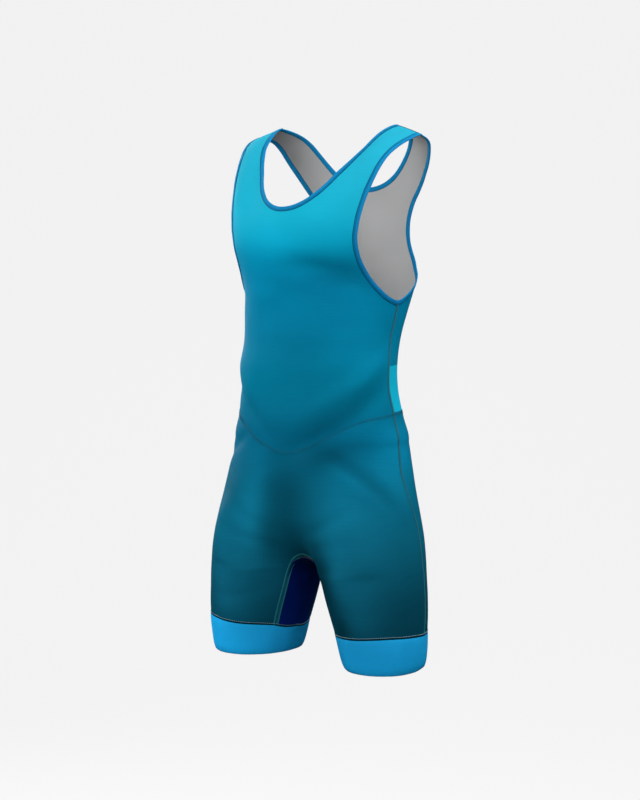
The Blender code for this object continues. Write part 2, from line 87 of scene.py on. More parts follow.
camera = bpy.data.objects.new("camera", bpy.data.cameras.new("camera"))
camera.data.lens = 85
camera.data.sensor_width = 36
camera.data.clip_end = 60
towards = Vector((-math.sin(CAMERA_AZIMUTH), math.cos(CAMERA_AZIMUTH), 0.0))
camera.location = CAMERA_AIM - CAMERA_DISTANCE * towards
looking = towards * math.cos(CAMERA_PITCH) - Vector((0, 0, math.sin(CAMERA_PITCH)))
camera.rotation_euler = looking.to_track_quat("-Z", "Y").to_euler()
bpy.context.scene.collection.objects.link(camera)
bpy.context.scene.camera = camera
print("camera at", tuple(round(v, 3) for v in camera.location))

# %% [markdown]
# ## The figure that fills the garment
#
# Real panels are cut flat and take their form from the wearer. They could be draped with a cloth
# simulation over a body, but no body belongs here. So the form itself is written as a smooth rule:
# a table of half-sections, level by level, each a squared ellipse that leaves the trunk and
# becomes a leg, and above the chest a lean towards the shoulder line. A place on it is (turn,
# along): degrees round the body from the centre front, and the height, or above the chest the
# length over the cloth.

# %% The figure's tables
# turn is how far a leg's section is turned, in degrees. web is how softly the two halves join.
Section = namedtuple(
    "Section", "level centre_x centre_y half_width front back front_round back_round turn web"
)
SECTIONS = [
    Section(-0.860, 0.1242, -0.049, 0.0612, 0.0740, 0.0740, 2.1, 2.1, 18.0, 0.010),
    Section(-0.830, 0.1215, -0.049, 0.0665, 0.0795, 0.0795, 2.1, 2.1, 18.0, 0.010),
    Section(-0.800, 0.1185, -0.050, 0.0705, 0.0850, 0.0850, 2.1, 2.1, 18.0, 0.010),
    Section(-0.770, 0.1140, -0.050, 0.0750, 0.0900, 0.0900, 2.1, 2.1, 17.0, 0.012),
    Section(-0.740, 0.1085, -0.050, 0.0785, 0.0945, 0.0940, 2.1, 2.1, 14.0, 0.025),
    Section(-0.715, 0.1040, -0.050, 0.0800, 0.0990, 0.0970, 2.1, 2.1, 11.0, 0.050),
    Section(-0.690, 0.0980, -0.050, 0.0830, 0.1030, 0.1010, 2.1, 2.1, 8.0, 0.080),
    Section(-0.660, 0.0860, -0.050, 0.0905, 0.1070, 0.1050, 2.1, 2.1, 5.0, 0.085),
    Section(-0.620, 0.0640, -0.052, 0.1065, 0.1100, 0.1075, 2.1, 2.1, 2.0, 0.060),
    Section(-0.580, 0.0380, -0.052, 0.1250, 0.1075, 0.1110, 2.1, 2.1, 0.0, 0.030),
    Section(-0.540, 0.0150, -0.049, 0.1405, 0.1055, 0.1095, 2.15, 2.15, 0.0, 0.008),
    Section(-0.500, 0.0000, -0.046, 0.1485, 0.1025, 0.1015, 2.2, 2.2, 0.0, 0.000),
    Section(-0.460, 0.0000, -0.048, 0.1407, 0.0970, 0.0950, 2.2, 2.2, 0.0, 0.000),
    Section(-0.420, 0.0000, -0.053, 0.1342, 0.0940, 0.0915, 2.2, 2.2, 0.0, 0.000),
    Section(-0.380, 0.0000, -0.054, 0.1320, 0.0960, 0.0945, 2.2, 2.2, 0.0, 0.000),
    Section(-0.340, 0.0000, -0.046, 0.1305, 0.0970, 0.0990, 2.2, 2.2, 0.0, 0.000),
    Section(-0.300, 0.0000, -0.037, 0.1350, 0.1015, 0.1050, 2.2, 2.2, 0.0, 0.000),
    Section(-0.260, 0.0000, -0.030, 0.1420, 0.1110, 0.1095, 2.1, 2.3, 0.0, 0.000),
    Section(-0.235, 0.0000, -0.028, 0.1490, 0.1210, 0.1100, 2.0, 2.4, 0.0, 0.000),
    Section(-0.210, 0.0000, -0.025, 0.1580, 0.1310, 0.1090, 2.0, 2.55, 0.0, 0.000),
    Section(-0.180, 0.0000, -0.022, 0.1700, 0.1400, 0.1063, 2.05, 2.7, 0.0, 0.000),
]
COLUMNS = {name: np.array([getattr(row, name) for row in SECTIONS]) for name in Section._fields}
CHEST_LEVEL = SECTIONS[-1].level
SHOULDER_HALF_WIDTH = 0.205
SHOULDER_DROP = 0.0533  # how far the shoulder line falls from the neck's middle to its end
NECK_SINE_SQUARED = 0.221  # the shoulder line is at z = 0 where the turn's sine squared is this
RISE = 0.283  # over the cloth, from the chest level to the shoulder line
# How rounded the lean to the shoulders is, round the body.
Arch = namedtuple("Arch", "turn roundness")
ARCHES = np.array([
    Arch(0.0, 1.66), Arch(15.0, 1.54), Arch(30.0, 1.48), Arch(45.0, 1.88), Arch(60.0, 2.16),
    Arch(115.0, 5.23), Arch(130.0, 4.64), Arch(145.0, 4.42), Arch(160.0, 4.76), Arch(180.0, 4.73),
])
FIGURE_RADIUS = 0.13  # turns an angle round the figure into a length over the cloth
FLAT_SCALE = np.array([math.radians(1) * FIGURE_RADIUS, 1.0])
print(len(SECTIONS), "sections and", len(ARCHES), "arches")

# %% Reading a table smoothly


def through(levels, values, at):
    """A smooth curve through the table's values, read at some levels."""
    slopes = np.gradient(values, levels)
    at = np.clip(at, levels[0], levels[-1])
    i = np.clip(np.searchsorted(levels, at) - 1, 0, len(levels) - 2)
    width = levels[i + 1] - levels[i]
    s = (at - levels[i]) / width
    return (
        values[i] * (1 + 2 * s) * (1 - s) ** 2
        + slopes[i] * width * s * (1 - s) ** 2
        + values[i + 1] * s**2 * (3 - 2 * s)
        + slopes[i + 1] * width * s**2 * (s - 1)
    )


def unit(vectors):
    return vectors / np.linalg.norm(vectors, axis=-1, keepdims=True)


def distances_along(spots):
    """How far along a line each of its points lies from the first."""
    return np.concatenate([[0], np.cumsum(np.linalg.norm(np.diff(spots, axis=0), axis=1))])


hip_and_waist = through(COLUMNS["level"], COLUMNS["half_width"], np.array([-0.50, -0.36]))
print("half the width at the hip and the waist: %.3f and %.3f m" % tuple(hip_and_waist))

# %% The trunk and the legs
FAR = 0.3  # further than any point of a section lies from its centre
HALVINGS = 27  # of a search between 0 and FAR, which ends within a few nanometres


def section_at(level):
    """Every column of the sections' table, read at some levels."""
    section = {name: through(COLUMNS["level"], COLUMNS[name], level) for name in Section._fields}
    turn = np.radians(section["turn"])
    section.update(cosine=np.cos(turn), sine=np.sin(turn), web=np.maximum(section["web"], 1e-6))
    return section


def outside(x, y, section):
    """How far a point lies outside the figure's section, in metres; below 0 inside."""
    gaps = []
    for side in (1, -1):
        dx, dy = side * x - section["centre_x"], y - section["centre_y"]
        across = dx * section["cosine"] + dy * section["sine"]
        deep = dy * section["cosine"] - dx * section["sine"]
        is_front = deep < 0
        depth = np.where(is_front, section["front"], section["back"])
        roundness = np.where(is_front, section["front_round"], section["back_round"])
        width = section["half_width"]
        reach = np.abs(across / width) ** roundness + np.abs(deep / depth) ** roundness
        gaps.append((reach ** (1 / roundness) - 1) * width)
    blend = np.maximum(section["web"] - np.abs(gaps[0] - gaps[1]), 0) / section["web"]
    return np.minimum(*gaps) - blend**2 * section["web"] / 4


def root(inside_at, low, high):
    """Where a function turns from below 0 to above 0, between low and high."""
    for _ in range(HALVINGS):
        middle = (low + high) / 2
        inner = inside_at(middle) < 0
        low, high = np.where(inner, middle, low), np.where(inner, high, middle)
    return (low + high) / 2


def centre_angles(level, section=None):
    """The directions of the centre front and the centre back, seen from the half's centre."""
    section = section or section_at(level)
    cx, cy = section["centre_x"], section["centre_y"]
    zero = np.zeros_like(level)
    forked = outside(zero, cy, section) > 0
    front = root(lambda r: outside(zero, cy - r, section), zero, zero + FAR)
    back = root(lambda r: outside(zero, cy + r, section), zero, zero + FAR)
    to_front = np.where(forked, -90, -np.degrees(np.arctan2(cx, front)))
    to_back = np.where(forked, 270, 180 + np.degrees(np.arctan2(cx, back)))
    return to_front, to_back


def trunk_point(turn, level):
    """A point of the trunk or leg: 0 is the centre front, 90 the side and 180 the centre back."""
    side, q = np.where(turn < 0, -1.0, 1.0), np.abs(turn)
    section = section_at(level)
    to_front, to_back = centre_angles(level, section)
    ahead = to_front + (90 - to_front) * q / 90
    behind = 90 + (to_back - 90) * (q - 90) / 90
    angle = np.radians(np.where(q < 90, ahead, behind))
    cx, cy = section["centre_x"], section["centre_y"]
    out_x, out_y = np.sin(angle), -np.cos(angle)
    zero = np.zeros_like(level)
    to_middle = np.where(out_x < -1e-9, cx / np.maximum(-out_x, 1e-9), FAR)
    radius = root(
        lambda r: outside(cx + r * out_x, cy + r * out_y, section), zero, np.minimum(FAR, to_middle)
    )
    return np.stack([side * (cx + radius * out_x), cy + radius * out_y, level], -1)


waist = trunk_point(np.array([0.0, 180.0]), np.array([-0.38, -0.38]))
print("the waist is %.3f m deep" % (waist[1, 1] - waist[0, 1]))

# %% The whole figure
CHEST_BLEND = 0.055  # within this length of the chest level, the edge is softened
CHEST_REACH = 0.026
TURN_STEP, ALONG_STEP = 0.05, 0.0002  # for slopes, in degrees and in metres


def leaning_point(turn, along):
    """A point of the figure, with an edge where the lean to the shoulders starts."""
    base = trunk_point(turn, np.minimum(along, CHEST_LEVEL))
    lean = np.radians(90) * np.clip((along - CHEST_LEVEL) / RISE, 0, 1.2)
    power = through(ARCHES[:, 0], ARCHES[:, 1], np.abs(turn))
    reach = (np.abs(np.cos(lean)) ** power + np.sin(lean) ** power) ** (-1 / power)
    over, up = reach * np.cos(lean), reach * np.sin(lean)
    sine = np.sin(np.radians(turn))
    ridge_x = SHOULDER_HALF_WIDTH * sine
    ridge_z = SHOULDER_DROP * (NECK_SINE_SQUARED - sine**2)
    x = base[..., 0] + (ridge_x - base[..., 0]) * (1 - over)
    y = base[..., 1] * over
    z = base[..., 2] + (ridge_z - base[..., 2]) * up
    return np.stack([x, y, np.where(along > CHEST_LEVEL, z, along)], -1)


def figure(turn, along):
    """A point of the figure, with the chest's edge softened as cloth does over it."""
    turn, along = np.broadcast_arrays(np.asarray(turn, float), np.asarray(along, float))
    turn = (turn + 180) % 360 - 180
    spots = leaning_point(turn, along)
    near = np.abs(along - CHEST_LEVEL) < CHEST_BLEND
    if near.any():
        q, a = turn[near], along[near]
        reach = CHEST_REACH * (1 - ((a - CHEST_LEVEL) / CHEST_BLEND) ** 2) ** 2
        total = 3 * spots[near]
        for share, weight in ((-1, 1), (-0.5, 2), (0.5, 2), (1, 1)):
            total = total + weight * leaning_point(q, a + share * reach)
        spots[near] = total / 9
    return spots


def surface(places):
    """The figure's points at some places, the outward normals, and how points move with places."""
    turn, along = np.asarray(places).T
    by_turn = (figure(turn + TURN_STEP, along) - figure(turn - TURN_STEP, along)) / (2 * TURN_STEP)
    by_along = figure(turn, along + ALONG_STEP) - figure(turn, along - ALONG_STEP)
    by_along = by_along / (2 * ALONG_STEP)
    return figure(turn, along), unit(np.cross(by_turn, by_along)), np.stack([by_turn, by_along], -1)


def slide(places, moves):
    """The places moved over the figure by short vectors in space, to the nearest points of it."""
    goals = figure(*places.T) + moves
    for _ in range(2):
        spots, _, jacobians = surface(places)
        steps = [np.linalg.lstsq(j, m, rcond=None)[0] for j, m in zip(jacobians, goals - spots)]
        places = places + np.array(steps)
    return places


chest = figure(np.arange(0, 361, 5), -0.19)
print("round the chest: %.3f m" % distances_along(chest)[-1])

# %% [markdown]
# ## Creases
#
# Stretch knit lies smooth, with a few soft, wide folds where it is pulled: over the belly, from
# the hip to the side, under the seat and round the fork. A simulation would give folds, but not
# where they are wanted. Here each fold is one row of a table, a curved stroke on the cloth, and
# the cloth sinks under it like a soft trough with faint ridges at its sides. A negative depth
# makes a ridge. All pieces read the same strokes, so that a fold runs on from a panel into its
# seam and its band.

# %% The creases' table
Fold = namedtuple("Fold", "from_turn from_along by_turn by_along to_turn to_along width depth")
FOLDS = [
    # broad forms: the belly, the hollow above the fork, the thighs' fronts
    Fold(-32, -0.456, 2, -0.476, 36, -0.452, 0.031, -0.0056),
    Fold(5, -0.520, 8, -0.600, 2, -0.700, 0.048, 0.0145),
    Fold(46, -0.575, 50, -0.690, 48, -0.830, 0.033, -0.0085),
    Fold(-42, -0.580, -43, -0.690, -42, -0.830, 0.033, -0.0085),
    # front of the trunk
    Fold(-16, -0.530, 44, -0.490, 86, -0.410, 0.018, 0.0070),
    Fold(60, -0.535, 76, -0.560, 94, -0.615, 0.030, -0.0045),
    Fold(36, -0.512, 60, -0.536, 78, -0.600, 0.014, 0.0048),
    Fold(30, -0.448, 56, -0.418, 88, -0.360, 0.020, -0.0060),
    Fold(4, -0.218, 34, -0.230, 62, -0.246, 0.021, 0.0080),
    Fold(-46, -0.262, -26, -0.273, -4, -0.264, 0.024, -0.0032),
    Fold(-14, -0.488, -40, -0.452, -82, -0.402, 0.013, 0.0026),
    Fold(-38, -0.482, -60, -0.512, -90, -0.560, 0.013, 0.0024),
    Fold(-30, -0.440, -52, -0.412, -76, -0.362, 0.016, -0.0014),
    Fold(-22, -0.226, 6, -0.232, 34, -0.222, 0.016, 0.0014),
    Fold(46, -0.205, 60, -0.262, 78, -0.330, 0.015, 0.0012),
    Fold(-44, -0.212, -60, -0.258, -80, -0.318, 0.015, 0.0014),
    Fold(34, -0.020, 41, -0.070, 40, -0.130, 0.009, 0.0007),
    Fold(-36, -0.035, -42, -0.080, -39, -0.140, 0.010, 0.0006),
    Fold(-34, -0.330, -20, -0.352, 2, -0.345, 0.017, 0.0008),
    Fold(30, -0.308, 48, -0.322, 70, -0.312, 0.015, 0.0008),
    # back of the trunk
    Fold(124, -0.380, 148, -0.398, 176, -0.388, 0.014, 0.0030),
    Fold(240, -0.384, 222, -0.402, 190, -0.398, 0.013, 0.0028),
    Fold(118, -0.424, 146, -0.430, 186, -0.420, 0.012, 0.0026),
    Fold(246, -0.422, 224, -0.436, 202, -0.430, 0.013, 0.0022),
    Fold(122, -0.346, 140, -0.352, 160, -0.342, 0.015, -0.0014),
    Fold(176, -0.180, 180, -0.260, 179, -0.345, 0.015, 0.0024),
    Fold(146, -0.215, 134, -0.270, 118, -0.318, 0.015, 0.0016),
    Fold(214, -0.225, 230, -0.280, 244, -0.316, 0.015, 0.0018),
    Fold(150, -0.462, 158, -0.500, 172, -0.548, 0.012, 0.0022),
    Fold(209, -0.462, 203, -0.496, 190, -0.540, 0.012, 0.0018),
    # legs, front
    Fold(-6, -0.640, -30, -0.612, -58, -0.572, 0.012, 0.0022),
    Fold(6, -0.650, 27, -0.622, 55, -0.590, 0.011, 0.0020),
    Fold(8, -0.668, 26, -0.655, 48, -0.640, 0.010, 0.0012),
    Fold(-9, -0.664, -24, -0.650, -50, -0.628, 0.011, 0.0014),
    Fold(70, -0.640, 80, -0.682, 82, -0.740, 0.016, 0.0016),
    Fold(-66, -0.636, -76, -0.688, -80, -0.748, 0.016, 0.0015),
    Fold(28, -0.735, 44, -0.752, 66, -0.758, 0.012, 0.0010),
    Fold(-24, -0.730, -42, -0.757, -62, -0.750, 0.012, 0.0011),
    # legs, back
    Fold(176, -0.612, 168, -0.655, 128, -0.672, 0.012, 0.0036),
    Fold(184, -0.610, 193, -0.660, 234, -0.668, 0.012, 0.0034),
    Fold(172, -0.560, 180, -0.606, 187, -0.650, 0.011, 0.0030),
    Fold(168, -0.662, 150, -0.700, 124, -0.712, 0.012, 0.0020),
    Fold(193, -0.668, 210, -0.706, 236, -0.704, 0.012, 0.0018),
    Fold(126, -0.600, 130, -0.640, 124, -0.690, 0.014, 0.0016),
    Fold(238, -0.600, 233, -0.636, 238, -0.684, 0.014, 0.0014),
    Fold(160, -0.740, 144, -0.762, 122, -0.756, 0.012, 0.0012),
    Fold(202, -0.744, 218, -0.758, 240, -0.764, 0.012, 0.0012),
]
FOLD_SAMPLES = 16
FOLD_ENDS = 0.04  # how far through its rise and fall a fold starts
RIDGES = 0.45  # how strong the faint ridges beside a fold are
RIPPLE = 0.00035  # the cloth is nowhere perfectly even
print(len(FOLDS), "folds")

# %% The relief


def nearest_on(spots, starts, ends):
    """For every spot and every straight run: how far along the run it is nearest, and the gap."""
    run = ends - starts
    rel = spots[:, None] - starts[None]
    share = np.clip((rel * run).sum(-1) / (run**2).sum(-1), 0, 1)
    return share, np.linalg.norm(rel - share[..., None] * run, axis=-1)


def relief(places):
    """How far the cloth stands proud of the figure at some places, in metres."""
    turn, along = np.asarray(places, float).T
    turn = (turn + 180) % 360 - 180
    height = np.zeros(len(turn))
    s = np.linspace(0, 1, FOLD_SAMPLES)
    shares = np.stack([(1 - s) ** 2, 2 * s * (1 - s), s**2])
    for fold in FOLDS:
        turns, alongs = np.reshape(fold[:6], (3, 2)).T @ shares
        middle = turns.mean()
        line = np.stack([(turns - middle) * FLAT_SCALE[0], alongs], -1)
        spots = np.stack([((turn - middle + 180) % 360 - 180) * FLAT_SCALE[0], along], -1)
        near = np.abs(spots - line.mean(0)).max(1) < 3 * fold.width + np.ptp(line, 0).max()
        share, gaps = nearest_on(spots[near], line[:-1], line[1:])
        which = gaps.argmin(1)
        each = np.arange(len(which))
        at = (which + share[each, which]) / (FOLD_SAMPLES - 1)
        strength = np.sin(np.pi * (FOLD_ENDS + (1 - 2 * FOLD_ENDS) * at)) ** 0.8
        spread = (gaps[each, which] / fold.width) ** 2
        height[near] -= fold.depth * strength * (1 - RIDGES * spread) * np.exp(-spread)
    u, v = turn * FLAT_SCALE[0], along
    ripple = np.sin(37 * v + 2.1 * np.sin(29 * u)) * np.sin(41 * u + 1.7 * np.sin(23 * v) + 0.8)
    return height + RIPPLE * ripple


sample = relief(np.stack([np.linspace(-180, 180, 721), np.full(721, -0.48)], -1))
print("relief at the hips: %.1f to %.1f mm" % (1000 * sample.min(), 1000 * sample.max()))

# %% [markdown]
# ## The cut
#
# The edges of the panels are smooth curves through a few rows each, drawn on the figure as a
# tailor chalks them on a fitted toile. Curves on the centre line give the left half, and their
# mirror image gives the right half. Two panels that are sewn together share one curve, so their
# edges always meet.

# %% The edges' tables
FRONT_NECK = [
    (32.4, 0.103), (32.3, 0.085), (32.0, 0.06), (31.9, 0.035), (31.4, 0.012), (29.9, -0.01),
    (27.0, -0.04), (24.6, -0.06), (22.3, -0.08), (18.6, -0.101), (12.9, -0.119), (7.2, -0.128),
    (0.0, -0.1315),
]
BACK_NECK = [
    (147.6, 0.103), (145.0, 0.072), (141.8, 0.036), (139.8, 0.003), (139.5, -0.022),
    (141.6, -0.047), (144.3, -0.0605), (148.0, -0.0735), (152.5, -0.085), (160.0, -0.097),
    (170.0, -0.105), (180.0, -0.1075),
]
ARMHOLE_SIDE_ROW = 17  # this row of the armhole is the top of the side seam
ARMHOLE = [
    (50.0, 0.103), (52.0, 0.082), (53.6, 0.06), (54.0, 0.04), (53.8, 0.015), (53.4, -0.01),
    (53.3, -0.04), (53.1, -0.07), (52.3, -0.1), (51.3, -0.13), (50.4, -0.155), (50.2, -0.178),
    (51.8, -0.196), (55.0, -0.213), (61.0, -0.2325), (70.0, -0.2545), (80.0, -0.27),
    (88.5, -0.275), (97.0, -0.268), (104.5, -0.258), (112.5, -0.247), (119.5, -0.237),
    (126.0, -0.227), (130.7, -0.215), (134.5, -0.203), (137.2, -0.19), (138.8, -0.17),
    (138.3, -0.15), (136.3, -0.132), (133.6, -0.117), (130.5, -0.104), (127.3, -0.0895),
    (124.2, -0.074), (121.3, -0.058), (119.6, -0.0426), (119.3, -0.026), (120.0, -0.01),
    (122.3, 0.012), (125.4, 0.04), (128.2, 0.07), (130.0, 0.103),
]
CUFF_TOP, CUFF_HEM = -0.797, -0.852
SIDE_HIP_ROW = 4  # this row of the side seam is where the hip seam crosses it
SIDE = [
    (88.5, -0.275), (89.0, -0.315), (90.0, -0.360), (90.0, -0.410), (90.0, -0.452),
    (88.5, -0.500), (88.7, -0.545), (92.3, -0.584), (98.5, -0.620), (101.5, -0.662),
    (99.5, -0.720), (96.5, CUFF_TOP),
]
FRONT_HIP = [
    (90.0, -0.452), (68.0, -0.459), (47.5, -0.476), (34.0, -0.491), (22.0, -0.501),
    (10.0, -0.508), (0.0, -0.511),
]
BACK_HIP = [(90.0, -0.452), (120.0, -0.452), (150.0, -0.459), (180.0, -0.463)]
ARCH_END = CUFF_TOP - 0.005  # the arch seams run on under the leg bands
# The arch seams are given in each leg's own directions: an angle with 0 to the front.
FRONT_ARCH_SEAM = [
    (-56.0, ARCH_END), (-57.8, -0.750), (-59.6, -0.722), (-60.6, -0.707), (-61.2, -0.697),
    (-62.3, -0.6905), (-63.7, -0.6866), (-64.5, -0.685),
]
BACK_ARCH_SEAM = [
    (231.0, ARCH_END), (230.0, -0.750), (228.0, -0.720), (227.0, -0.705), (227.5, -0.695),
    (230.5, -0.689), (234.5, -0.6857), (237.7, -0.685),
]
# The leg bands' top edge round each leg, as a place round it and a rise above CUFF_TOP.
CUFF_RISE = [
    (0.0, -0.0115), (6.0, -0.0108), (12.0, -0.0085), (17.0, -0.0050), (26.0, -0.0015),
    (34.0, 0.0010), (46.0, 0.0042), (62.0, 0.0065), (80.0, 0.0040), (96.5, 0.0), (130.0, -0.0005),
    (150.0, -0.0020), (160.5, -0.0065), (167.0, -0.0125), (173.0, -0.0142), (180.0, -0.0115),
]
print("rows of the armhole:", len(ARMHOLE), "and of the side seam:", len(SIDE))

# %% Curves on the cloth
EDGE_STEP = 0.0045  # between the points of an edge
BEND_STEPS = 24  # from one row of a table to the next
LINE_POINTS = 90  # on a level line or a leg band's edge


def bend(rows, first=0, last=None):
    """Many places on the smooth curve through a table's rows, from one row to another."""
    rows = np.array(rows, float)
    lengths = distances_along(rows * FLAT_SCALE)
    at = lengths[first : None if last is None else last + 1]
    fine = [np.linspace(a, b, BEND_STEPS, endpoint=False) for a, b in zip(at[:-1], at[1:])]
    fine = np.concatenate(fine + [at[-1:]])
    return np.stack([through(lengths, column, fine) for column in rows.T], -1)


def mirrored(places, centre=0):
    """The same curve on the other side of the centre front (0) or of the centre back (180)."""
    return np.stack([2 * centre - places[:, 0], places[:, 1]], -1)[::-1]


def across(rows, centre):
    """The whole curve of a table that ends on the centre line."""
    rows = np.array(rows, float)
    return bend(np.concatenate([rows, mirrored(rows, centre)[1:]]))


def arch_seam(spokes, centre):
    """The whole curve of an arch seam, as places on the figure."""
    half = bend(spokes)
    to_front, to_back = centre_angles(half[:, 1])
    if centre == 0:
        turns = 90 * (half[:, 0] - to_front) / (90 - to_front)
    else:
        turns = 90 + 90 * (half[:, 0] - 90) / (to_back - 90)
    turns[-1] = centre
    half = np.stack([turns, half[:, 1]], -1)
    return np.concatenate([half, mirrored(half, centre)[1:]])


def stations(curve, step=EDGE_STEP):
    """Places along a curve that lie an even length apart over the cloth."""
    lengths = distances_along(figure(*curve.T))
    count = 2 * max(1, round(lengths[-1] / step / 2))
    even = np.linspace(0, lengths[-1], count + 1)
    return np.stack([np.interp(even, lengths, column) for column in curve.T], -1)


def level_line(from_turn, to_turn, along):
    turns = np.linspace(from_turn, to_turn, LINE_POINTS)
    return np.stack([turns, np.full_like(turns, along)], -1)


def cuff_top(turns):
    """The height of the leg bands' top edge, 0 to 180 round a leg."""
    return CUFF_TOP + through(*np.array(CUFF_RISE).T, turns)


def cuff_line(first, last):
    """The leg band's top edge from one place on it to another."""
    turns = np.linspace(first[0], last[0], LINE_POINTS)
    levels = cuff_top(turns)
    levels[0], levels[-1] = first[1], last[1]
    return stations(np.stack([turns, levels], -1))


print("the front neck's curve has", len(across(FRONT_NECK, 0)), "points")

# %% The panels' edges


def fan_of(spots):
    """Between the legs: the angle from straight up to the left, seen from the leg bands' top."""
    return np.arctan2(spots[:, 0], spots[:, 2] - CUFF_TOP)


arm_front_left = stations(bend(ARMHOLE, 0, ARMHOLE_SIDE_ROW))
arm_back_left = stations(bend(ARMHOLE, ARMHOLE_SIDE_ROW))
side_upper = stations(bend(SIDE, 0, SIDE_HIP_ROW))
side_lower = stations(bend(SIDE, SIDE_HIP_ROW))
front_neck, back_neck = stations(across(FRONT_NECK, 0)), stations(across(BACK_NECK, 180))
front_hip, back_hip = stations(across(FRONT_HIP, 0)), stations(across(BACK_HIP, 180))
shoulder_front = stations(level_line(ARMHOLE[0][0], FRONT_NECK[0][0], ARMHOLE[0][1]))
shoulder_back = np.stack([180 - shoulder_front[:, 0], shoulder_front[:, 1]], -1)
front_arch = stations(arch_seam(FRONT_ARCH_SEAM, 0))
back_arch_curve = arch_seam(BACK_ARCH_SEAM, 180)
front_fans, back_fans = fan_of(figure(*front_arch.T)), fan_of(figure(*back_arch_curve.T))
back_arch = np.stack([np.interp(-front_fans, -back_fans, v) for v in back_arch_curve.T], -1)
cuff_front = cuff_line(front_arch[0], side_lower[-1])
cuff_back = cuff_line(side_lower[-1], back_arch[0])
print("stations of the neck, hip and arch:", len(front_neck), len(front_hip), len(front_arch))

# %% [markdown]
# ## Writing materials as sums
#
# Fabric needs shader maths: lines of knit, faded colour, rough and smooth patches. Wiring that by
# hand takes dozens of calls. `Value` wraps a socket, so that `1 - lines * 0.1` adds the Math nodes
# itself, and `Graph.node` adds any other node from its type, its settings and its sockets.

# %% Shader helpers


class Value:
    """A socket that carries a number; sums with it add Math nodes."""

    def __init__(self, graph, socket):
        self.graph, self.socket = graph, socket

    def maths(self, operation, first, second=0.0):
        return self.graph.node("ShaderNodeMath", {"operation": operation}, {0: first, 1: second})

    def __add__(self, other):
        return self.maths("ADD", self, other)

    def __sub__(self, other):
        return self.maths("SUBTRACT", self, other)

    def __rsub__(self, other):
        return self.maths("SUBTRACT", other, self)

    def __mul__(self, other):
        return self.maths("MULTIPLY", self, other)

    def __mod__(self, other):
        return self.maths("MODULO", self, other)

    def __gt__(self, other):
        return self.maths("GREATER_THAN", self, other)

    def __lt__(self, other):
        return self.maths("LESS_THAN", self, other)

    def sine(self):
        return self.maths("SINE", self)

    def bell(self):
        """1 where this is 0, and falling off softly as it grows."""
        return self.maths("EXPONENT", self * -1.0)

    __radd__, __rmul__ = __add__, __mul__


class Graph:
    """The nodes of one tree."""

    def __init__(self, tree):
        self.tree = tree
        tree.nodes.clear()

    def node(self, kind, settings=None, inputs=None, output=0):
        """Adds a node, sets it, gives its sockets values or links, and returns one output."""
        made = self.tree.nodes.new(kind)
        for key, setting in (settings or {}).items():
            if key == "stops":
                ramp = made.color_ramp
                while len(ramp.elements) < len(setting):
                    ramp.elements.new(0.5)
                for element, (position, colour) in zip(ramp.elements, setting):
                    element.position, element.color = position, (*colour, 1.0)
            else:
                setattr(made, key, setting)
        for key, given in (inputs or {}).items():
            if isinstance(given, Value):
                self.tree.links.new(given.socket, made.inputs[key])
            else:
                made.inputs[key].default_value = given
        return Value(self, made.outputs[output]) if len(made.outputs) else None

    def axis(self, vector, letter):
        """One of a vector's three numbers."""
        return self.node("ShaderNodeSeparateXYZ", inputs={0: vector}, output=letter)


def new_material(name):
    material = bpy.data.materials.new(name)
    material.use_nodes = True
    return material, Graph(material.node_tree)


print("shader helpers ready")

# %% [markdown]
# ## The knitted cloth
#
# The cloth is a fine warp knit of nylon and elastane with a soft satin sheen. The colour is
# printed and runs from bright blue at the straps to deep teal at the legs, so it follows the
# height. The knit's courses run level round the body: they are lines on a UV map in metres,
# because a pattern on height alone would stretch over the shoulders. They are far finer than the
# eye resolves at arm's length, so a second, streaky noise along the courses gives what does show.
#
# The folds are real relief, and the material adds fine bump to them. Relief and the lights don't
# give all of the shading, so a few soft spots of painted light and painted shade are put into the
# colour: paler over the hips and the thighs' fronts, deeper beside the fork and on the thighs'
# sides. Each has a place, two reaches and an amount.

# %% The knit's maker
COURSE = 0.00085  # one row of knit
WALE = 0.00075  # one column of knit
TWO_PI = 2 * math.pi
LOWEST, HIGHEST = -0.86, 0.0  # the colour runs between these heights
STREAKS_ALONG, STREAKS_UP = 22.0, 420.0  # streaks of noise in a metre
PATCHES = 17.0  # soft patches of noise in a metre
PATCHINESS = 0.10  # how much the patches change the shade and the roughness
ROUGH_STREAKS = 0.12  # how much the streaks change the roughness
GLOSS = 0.006  # knit hardly mirrors anything
KNIT_DEPTH = 0.00016  # of the bump


def share_of_height(height):
    return (height - LOWEST) * (1 / (HIGHEST - LOWEST))


